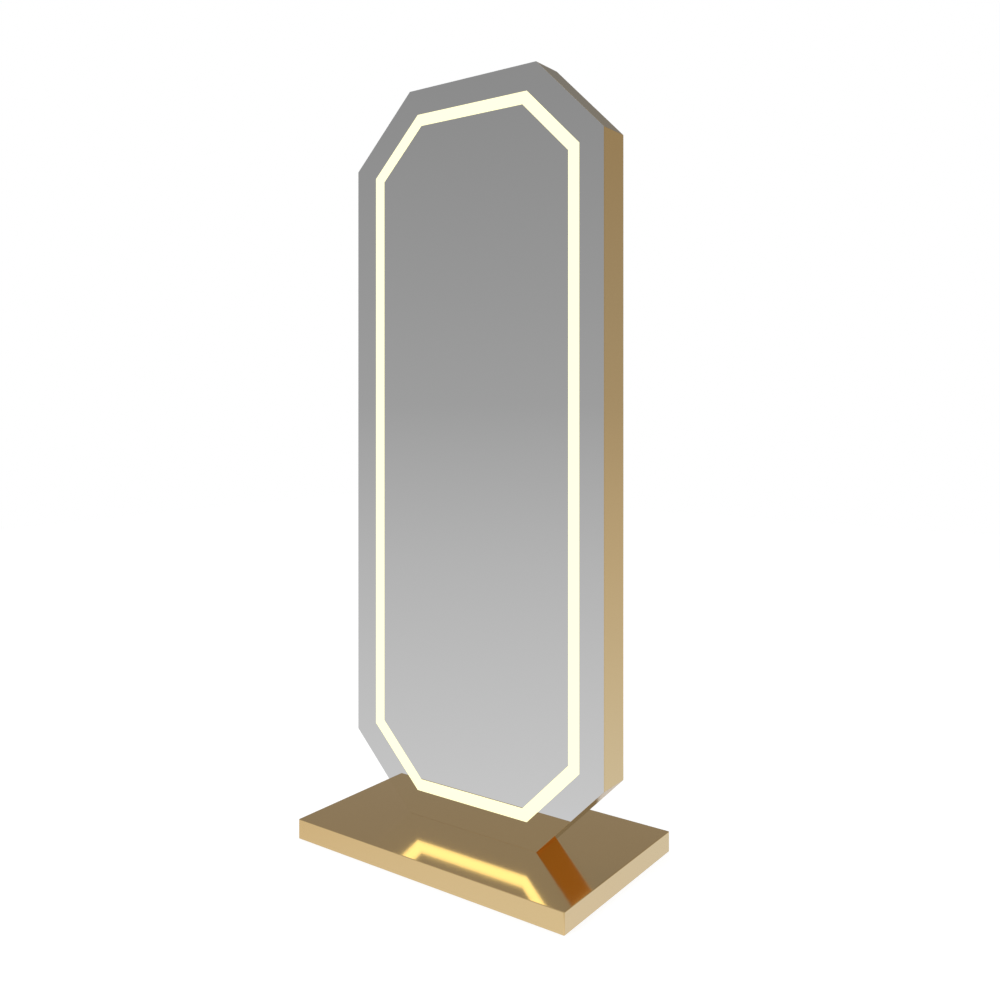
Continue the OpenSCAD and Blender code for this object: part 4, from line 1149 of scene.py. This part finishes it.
class SALON_OT_cable_gland(bpy.types.Operator):
    """Screw the cable gland into the back cover"""

    bl_idname = "salon.cable_gland"
    bl_label = "Cable gland"

    def execute(self, context):
        nylon = nylon_material()
        body_low, body_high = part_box("gland_body")
        nut_low, nut_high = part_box("gland_nut")
        middle = (body_low + body_high) / 2
        place = Matrix.Translation((middle.x, COVER_BACK_Y, middle.z)) @ TO_BACK
        tail, stem = body_low.y - COVER_BACK_Y, body_high.y - COVER_BACK_Y
        low, high = nut_low.y - COVER_BACK_Y, nut_high.y - COVER_BACK_Y
        flats, wide, tall = body_high.z - body_low.z, nut_high.z - nut_low.z, high - low
        bore, seal, flange, seal_floor = 4.6 * MM, 6.4 * MM, 4 * MM, 5 * MM
        root, pitch, soft = GLAND_THREAD - 0.5 * MM, 1.5 * MM, 0.5 * MM
        steps = 72

        def ring(radius, z):
            return at_height(circular(radius, steps), z)

        def hexes(inset, z):
            return at_height(hexagonal(flats - 2 * inset, steps), z)

        threads = []
        z = tail
        while z < -pitch:
            threads += [ring(root, z), ring(GLAND_THREAD, z + 0.5 * pitch)]
            z += pitch
        body = skin("gland_barrel", [
            ring(bore, tail), *threads, ring(root, 0), hexes(soft, 0), hexes(0, soft),
            hexes(0, flange - soft), hexes(soft, flange), ring(GLAND_THREAD, flange),
            ring(GLAND_THREAD, stem - soft), ring(GLAND_THREAD - soft, stem),
            ring(seal, stem), ring(seal, seal_floor), ring(bore, seal_floor),
        ], closed=True)
        finished(moved(body, place), nylon, "gland_plastic", MIRROR, "gland_body")

        inside, mouth, hood = GLAND_THREAD + 0.1 * MM, 0.6 * MM, 3 * MM
        grips, grip_depth, grip_top = 24, 0.25 * MM, 0.52
        draw_in, start, roundness = 3.9 * MM, 0.58, 0.6
        grip = [(wide - 2 * soft, low), (wide, low + soft), (wide, low + grip_top * tall)]
        dome = [(wide / 2 - x * draw_in, low + (start + (1 - start) * x ** roundness) * tall)
                for x in (0.0, 0.15, 0.35, 0.6, 0.85, 1.0)]
        hole = [(bore + mouth, high), (bore, high - mouth),
                (bore, high - hood), (inside, high - hood)]
        loops = [ring(inside, low)]
        loops += [at_height(flutes(across, grips, grip_depth, steps), z) for across, z in grip]
        loops += [ring(r, z) for r, z in dome + hole]
        nut = skin("gland_cap", loops, closed=True)
        finished(moved(nut, place), nylon, "gland_plastic", MIRROR, "gland_nut")
        return {"FINISHED"}


def inner_finishes():
    """Material of each CAD node that keeps its own shape."""
    steel = ("perimeter_frame", "uprights", "cross_rails", "side_arms", "foot_plate",
             "base_frame", "tie_plate", "ballast_plate")
    zinc = ("board_screws", "driver_plate", "driver_plate_screws", "driver_screws",
            "tie_bolts", "tie_washers")
    return {
        **dict.fromkeys(steel, material("primed_steel", primed_steel)),
        **dict.fromkeys(zinc, zinc_material()),
        "backing_board": material("fibreboard", fibreboard),
        "light_channels": plated_steel("mill_aluminium", (0.80, 0.81, 0.82), 0.35),
        "light_strips": moulded("solder_mask", (0.86, 0.86, 0.82), 0.4),
        "switch_terminals": plated_steel("brass_blade", (0.80, 0.60, 0.26), 0.25),
        "light_driver": moulded("driver_case", (0.78, 0.78, 0.76), 0.5),
        "terminal_block": moulded("terminal_nylon", (0.74, 0.73, 0.69), 0.55),
        "gland_seal": rubber_material(),
        "gland_locknut": nylon_material(),
        "foam_pad": foam(),
        "underplate": powder_material(bpy.context),
        "switch_leads": moulded("brown_insulation", (0.20, 0.085, 0.035), 0.4),
        "driver_leads": moulded("blue_insulation", (0.05, 0.15, 0.42), 0.4),
        "light_leads": moulded("red_insulation", (0.42, 0.045, 0.03), 0.4),
    }


class SALON_OT_inner_parts(bpy.types.Operator):
    """Finish the boards, frames, fasteners and wiring inside"""

    bl_idname = "salon.inner_parts"
    bl_label = "Inner parts"

    def execute(self, context):
        for node, finish in inner_finishes().items():
            mesh = frame["nodes"][node].data
            if not mesh.materials:
                mesh.materials.append(finish)
            for i in range(len(mesh.materials)):
                mesh.materials[i] = finish
        return {"FINISHED"}


WHITE = (1, 1, 1, 1)
# Colours that polished surfaces find round the mirror, by the sine of their height: before the
# mirror, behind it to the left, and behind it to the right. A single number is a grey.
SWEEP_AHEAD = [
    (-1.0, 0.80), (-0.6, (0.72, 0.76, 0.83)), (-0.458, (0.672, 0.72, 0.80)),
    (-0.413, (0.655, 0.68, 0.725)), (-0.388, (0.637, 0.645, 0.655)), (-0.372, 0.625),
    (-0.249, 0.553), (-0.155, 0.496), (-0.037, 0.407), (0.0, 0.376), (0.103, 0.344),
    (0.307, 0.29), (0.39, (0.29, 0.284, 0.275)), (0.6, 0.27), (0.9, 0.6), (1.0, 0.8),
]
SWEEP_ASLANT = [
    (-1.0, 0.80), (-0.6, 0.66), (-0.455, (0.60, 0.58, 0.56)), (-0.249, 0.55), (0.0, 0.376),
    (0.307, 0.277), (0.36, (0.262, 0.258, 0.256)), (0.42, (0.258, 0.252, 0.249)),
    (0.46, (0.20, 0.215, 0.235)), (0.75, (0.18, 0.20, 0.22)), (0.9, 0.5), (1.0, 0.7),
]
SWEEP_BEHIND = [
    (-1.0, 0.80), (-0.6, (0.72, 0.79, 0.96)), (-0.438, (0.648, 0.72, 0.89)),
    (-0.385, (0.63, 0.715, 0.87)), (-0.353, (0.613, 0.684, 0.81)),
    (-0.249, (0.552, 0.587, 0.645)), (-0.155, (0.494, 0.505, 0.525)),
    (-0.037, (0.405, 0.405, 0.408)), (0.0, 0.374), (0.103, 0.343),
    (0.307, (0.297, 0.276, 0.24)), (0.42, (0.292, 0.236, 0.14)), (0.49, (0.26, 0.222, 0.15)),
    (0.75, 0.19), (0.9, 0.5), (1.0, 0.7),
]
# The level way behind the mirror and to the right, along which one sweep gives way to the next
SWEEP_WAY = Vector((0.584, 0.812, 0))
SWEEP_CHANGES = ((-0.4, 0.0), (0.5, 0.85))


def sweep_ramp(make, level, stops):
    """A ramp of colours from straight below to straight above."""
    ramp = make.add("ShaderNodeValToRGB", {"Fac": level})
    points = ramp.color_ramp.elements
    while len(points) < len(stops):
        points.new(1.0)
    for point, (sine, colour) in zip(points, stops):
        point.position = (sine + 1) / 2
        point.color = (*([colour] * 3 if isinstance(colour, float) else colour), 1)
    return ramp.outputs["Color"]


def surroundings(scene):
    """White to the camera, and a sweep of light and dark to polished metal and glass."""
    world = bpy.data.worlds.new("studio_surroundings")
    world.use_nodes = True
    world.node_tree.nodes.clear()
    make = NodeMaker(world.node_tree)
    way = make.out("ShaderNodeTexCoord", "Generated")
    height = make.add("ShaderNodeSeparateXYZ", {0: way}).outputs["Z"]
    level = make.math("MULTIPLY_ADD", height, 0.5, 0.5)
    side = make.vector("DOT_PRODUCT", way, SWEEP_WAY)
    sweep = sweep_ramp(make, level, SWEEP_AHEAD)
    for change, stops in zip(SWEEP_CHANGES, (SWEEP_ASLANT, SWEEP_BEHIND)):
        sweep = make.mixed(make.ranged(side, *change), sweep, sweep_ramp(make, level, stops))
    path = make.add("ShaderNodeLightPath").outputs
    polished = make.math("MAXIMUM", path["Is Glossy Ray"], path["Is Transmission Ray"])
    lit, plain, swept = (make.light("ShaderNodeBackground", colour, strength)
                         for colour, strength in ((WHITE, 0.75), (WHITE, 1.0), (sweep, 1.0)))
    shown = make.either(polished, make.either(path["Is Camera Ray"], lit, plain), swept)
    make.add("ShaderNodeOutputWorld", {"Surface": shown})
    scene.world = world


def floor_finish():
    """Pale floor: white to the camera but for the shadow, and open to polished metal."""
    made = bpy.data.materials.new("pale_floor")
    made.use_nodes = True
    made.node_tree.nodes.clear()
    make = NodeMaker(made.node_tree)
    path = make.add("ShaderNodeLightPath").outputs
    bare, shaded = (make.out("ShaderNodeBsdfDiffuse", "BSDF", {"Color": (grey, grey, grey, 1)})
                    for grey in (0.8, 0.34))
    white = make.light("ShaderNodeEmission", WHITE, 0.76)
    seen = make.out("ShaderNodeAddShader", "Shader", {0: shaded, 1: white})
    solid = make.either(path["Is Camera Ray"], bare, seen)
    through = make.out("ShaderNodeBsdfTransparent", "BSDF")
    final = make.either(path["Is Glossy Ray"], solid, through)
    make.add("ShaderNodeOutputMaterial", {"Surface": final})
    return made


def lamp(name, place, aim, side, power):
    """A square soft lamp that polished metal doesn't show."""
    data = bpy.data.lights.new(name, "AREA")
    data.shape = "SQUARE"
    data.size = side
    data.energy = power
    made = new_object(name, data)
    made.location = place
    made.rotation_euler = (Vector(aim) - Vector(place)).to_track_quat("-Z", "Y").to_euler()
    made.visible_camera = False
    made.visible_glossy = False


class SALON_OT_stage(bpy.types.Operator):
    """Set up the floor, the surroundings, the lamps and the camera"""

    bl_idname = "salon.stage"
    bl_label = "Stage"

    def execute(self, context):
        scene = context.scene
        stage = scene.salon_stage
        half = stage.floor_side / 2
        mesh = bpy.data.meshes.new("floor")
        mesh.from_pydata([(-half, -half, 0), (half, -half, 0), (half, half, 0), (-half, half, 0)],
                         [], [(0, 1, 2, 3)])
        mesh.materials.append(floor_finish())
        new_object("floor", mesh)
        surroundings(scene)
        aim, side = (0, 0, 0.9), 2.4
        lamp("key_lamp", (-1.6, -2.6, 3.4), aim, side, stage.key_power)
        lamp("fill_lamp", (1.8, 2.6, 3.0), aim, side, stage.fill_power)
        data = bpy.data.cameras.new("camera")
        data.sensor_width = 36
        data.lens = stage.lens
        data.shift_y = stage.rise
        data.clip_start = 0.05
        data.clip_end = 50
        camera = new_object("camera", data)
        camera.location = stage.camera_place
        camera.rotation_euler = (math.radians(90), 0, stage.camera_turn)
        scene.camera = camera
        scene.view_settings.view_transform = "Standard"
        return {"FINISHED"}


OPERATORS = (
    SALON_OT_gold_casing, SALON_OT_mirror_face, SALON_OT_light_band, SALON_OT_gold_base,
    SALON_OT_rear_cover, SALON_OT_screws, SALON_OT_feet, SALON_OT_switch,
    SALON_OT_cable_gland, SALON_OT_inner_parts, SALON_OT_stage,
)


class SALON_PT_pieces(bpy.types.Panel):
    """Lists the pieces of the mirror, with their sizes and finishes"""

    bl_idname = "SALON_PT_pieces"
    bl_label = "Salon mirror"
    bl_space_type = "VIEW_3D"
    bl_region_type = "UI"
    bl_category = "Salon mirror"

    def draw(self, context):
        for group in ("salon_sizes", "salon_finishes", "salon_stage"):
            values = getattr(context.scene, group)
            box = self.layout.box()
            for name in type(values).__annotations__:
                box.prop(values, name)
        for operator in OPERATORS:
            self.layout.operator(operator.bl_idname)


CLASSES = (MirrorSizes, MirrorFinishes, MirrorStage, *OPERATORS, SALON_PT_pieces)


def register():
    """Registers the add-on's classes and its values on the scene."""
    for each in CLASSES:
        bpy.utils.register_class(each)
    bpy.types.Scene.salon_sizes = PointerProperty(type=MirrorSizes)
    bpy.types.Scene.salon_finishes = PointerProperty(type=MirrorFinishes)
    bpy.types.Scene.salon_stage = PointerProperty(type=MirrorStage)


def unregister():
    """Removes what register added."""
    del bpy.types.Scene.salon_stage
    del bpy.types.Scene.salon_finishes
    del bpy.types.Scene.salon_sizes
    for each in reversed(CLASSES):
        bpy.utils.unregister_class(each)


def main():
    """Builds every piece and the stage."""
    register()
    for operator in OPERATORS:
        group, name = operator.bl_idname.split(".")
        getattr(getattr(bpy.ops, group), name)()


if __name__ == "__main__":
    main()
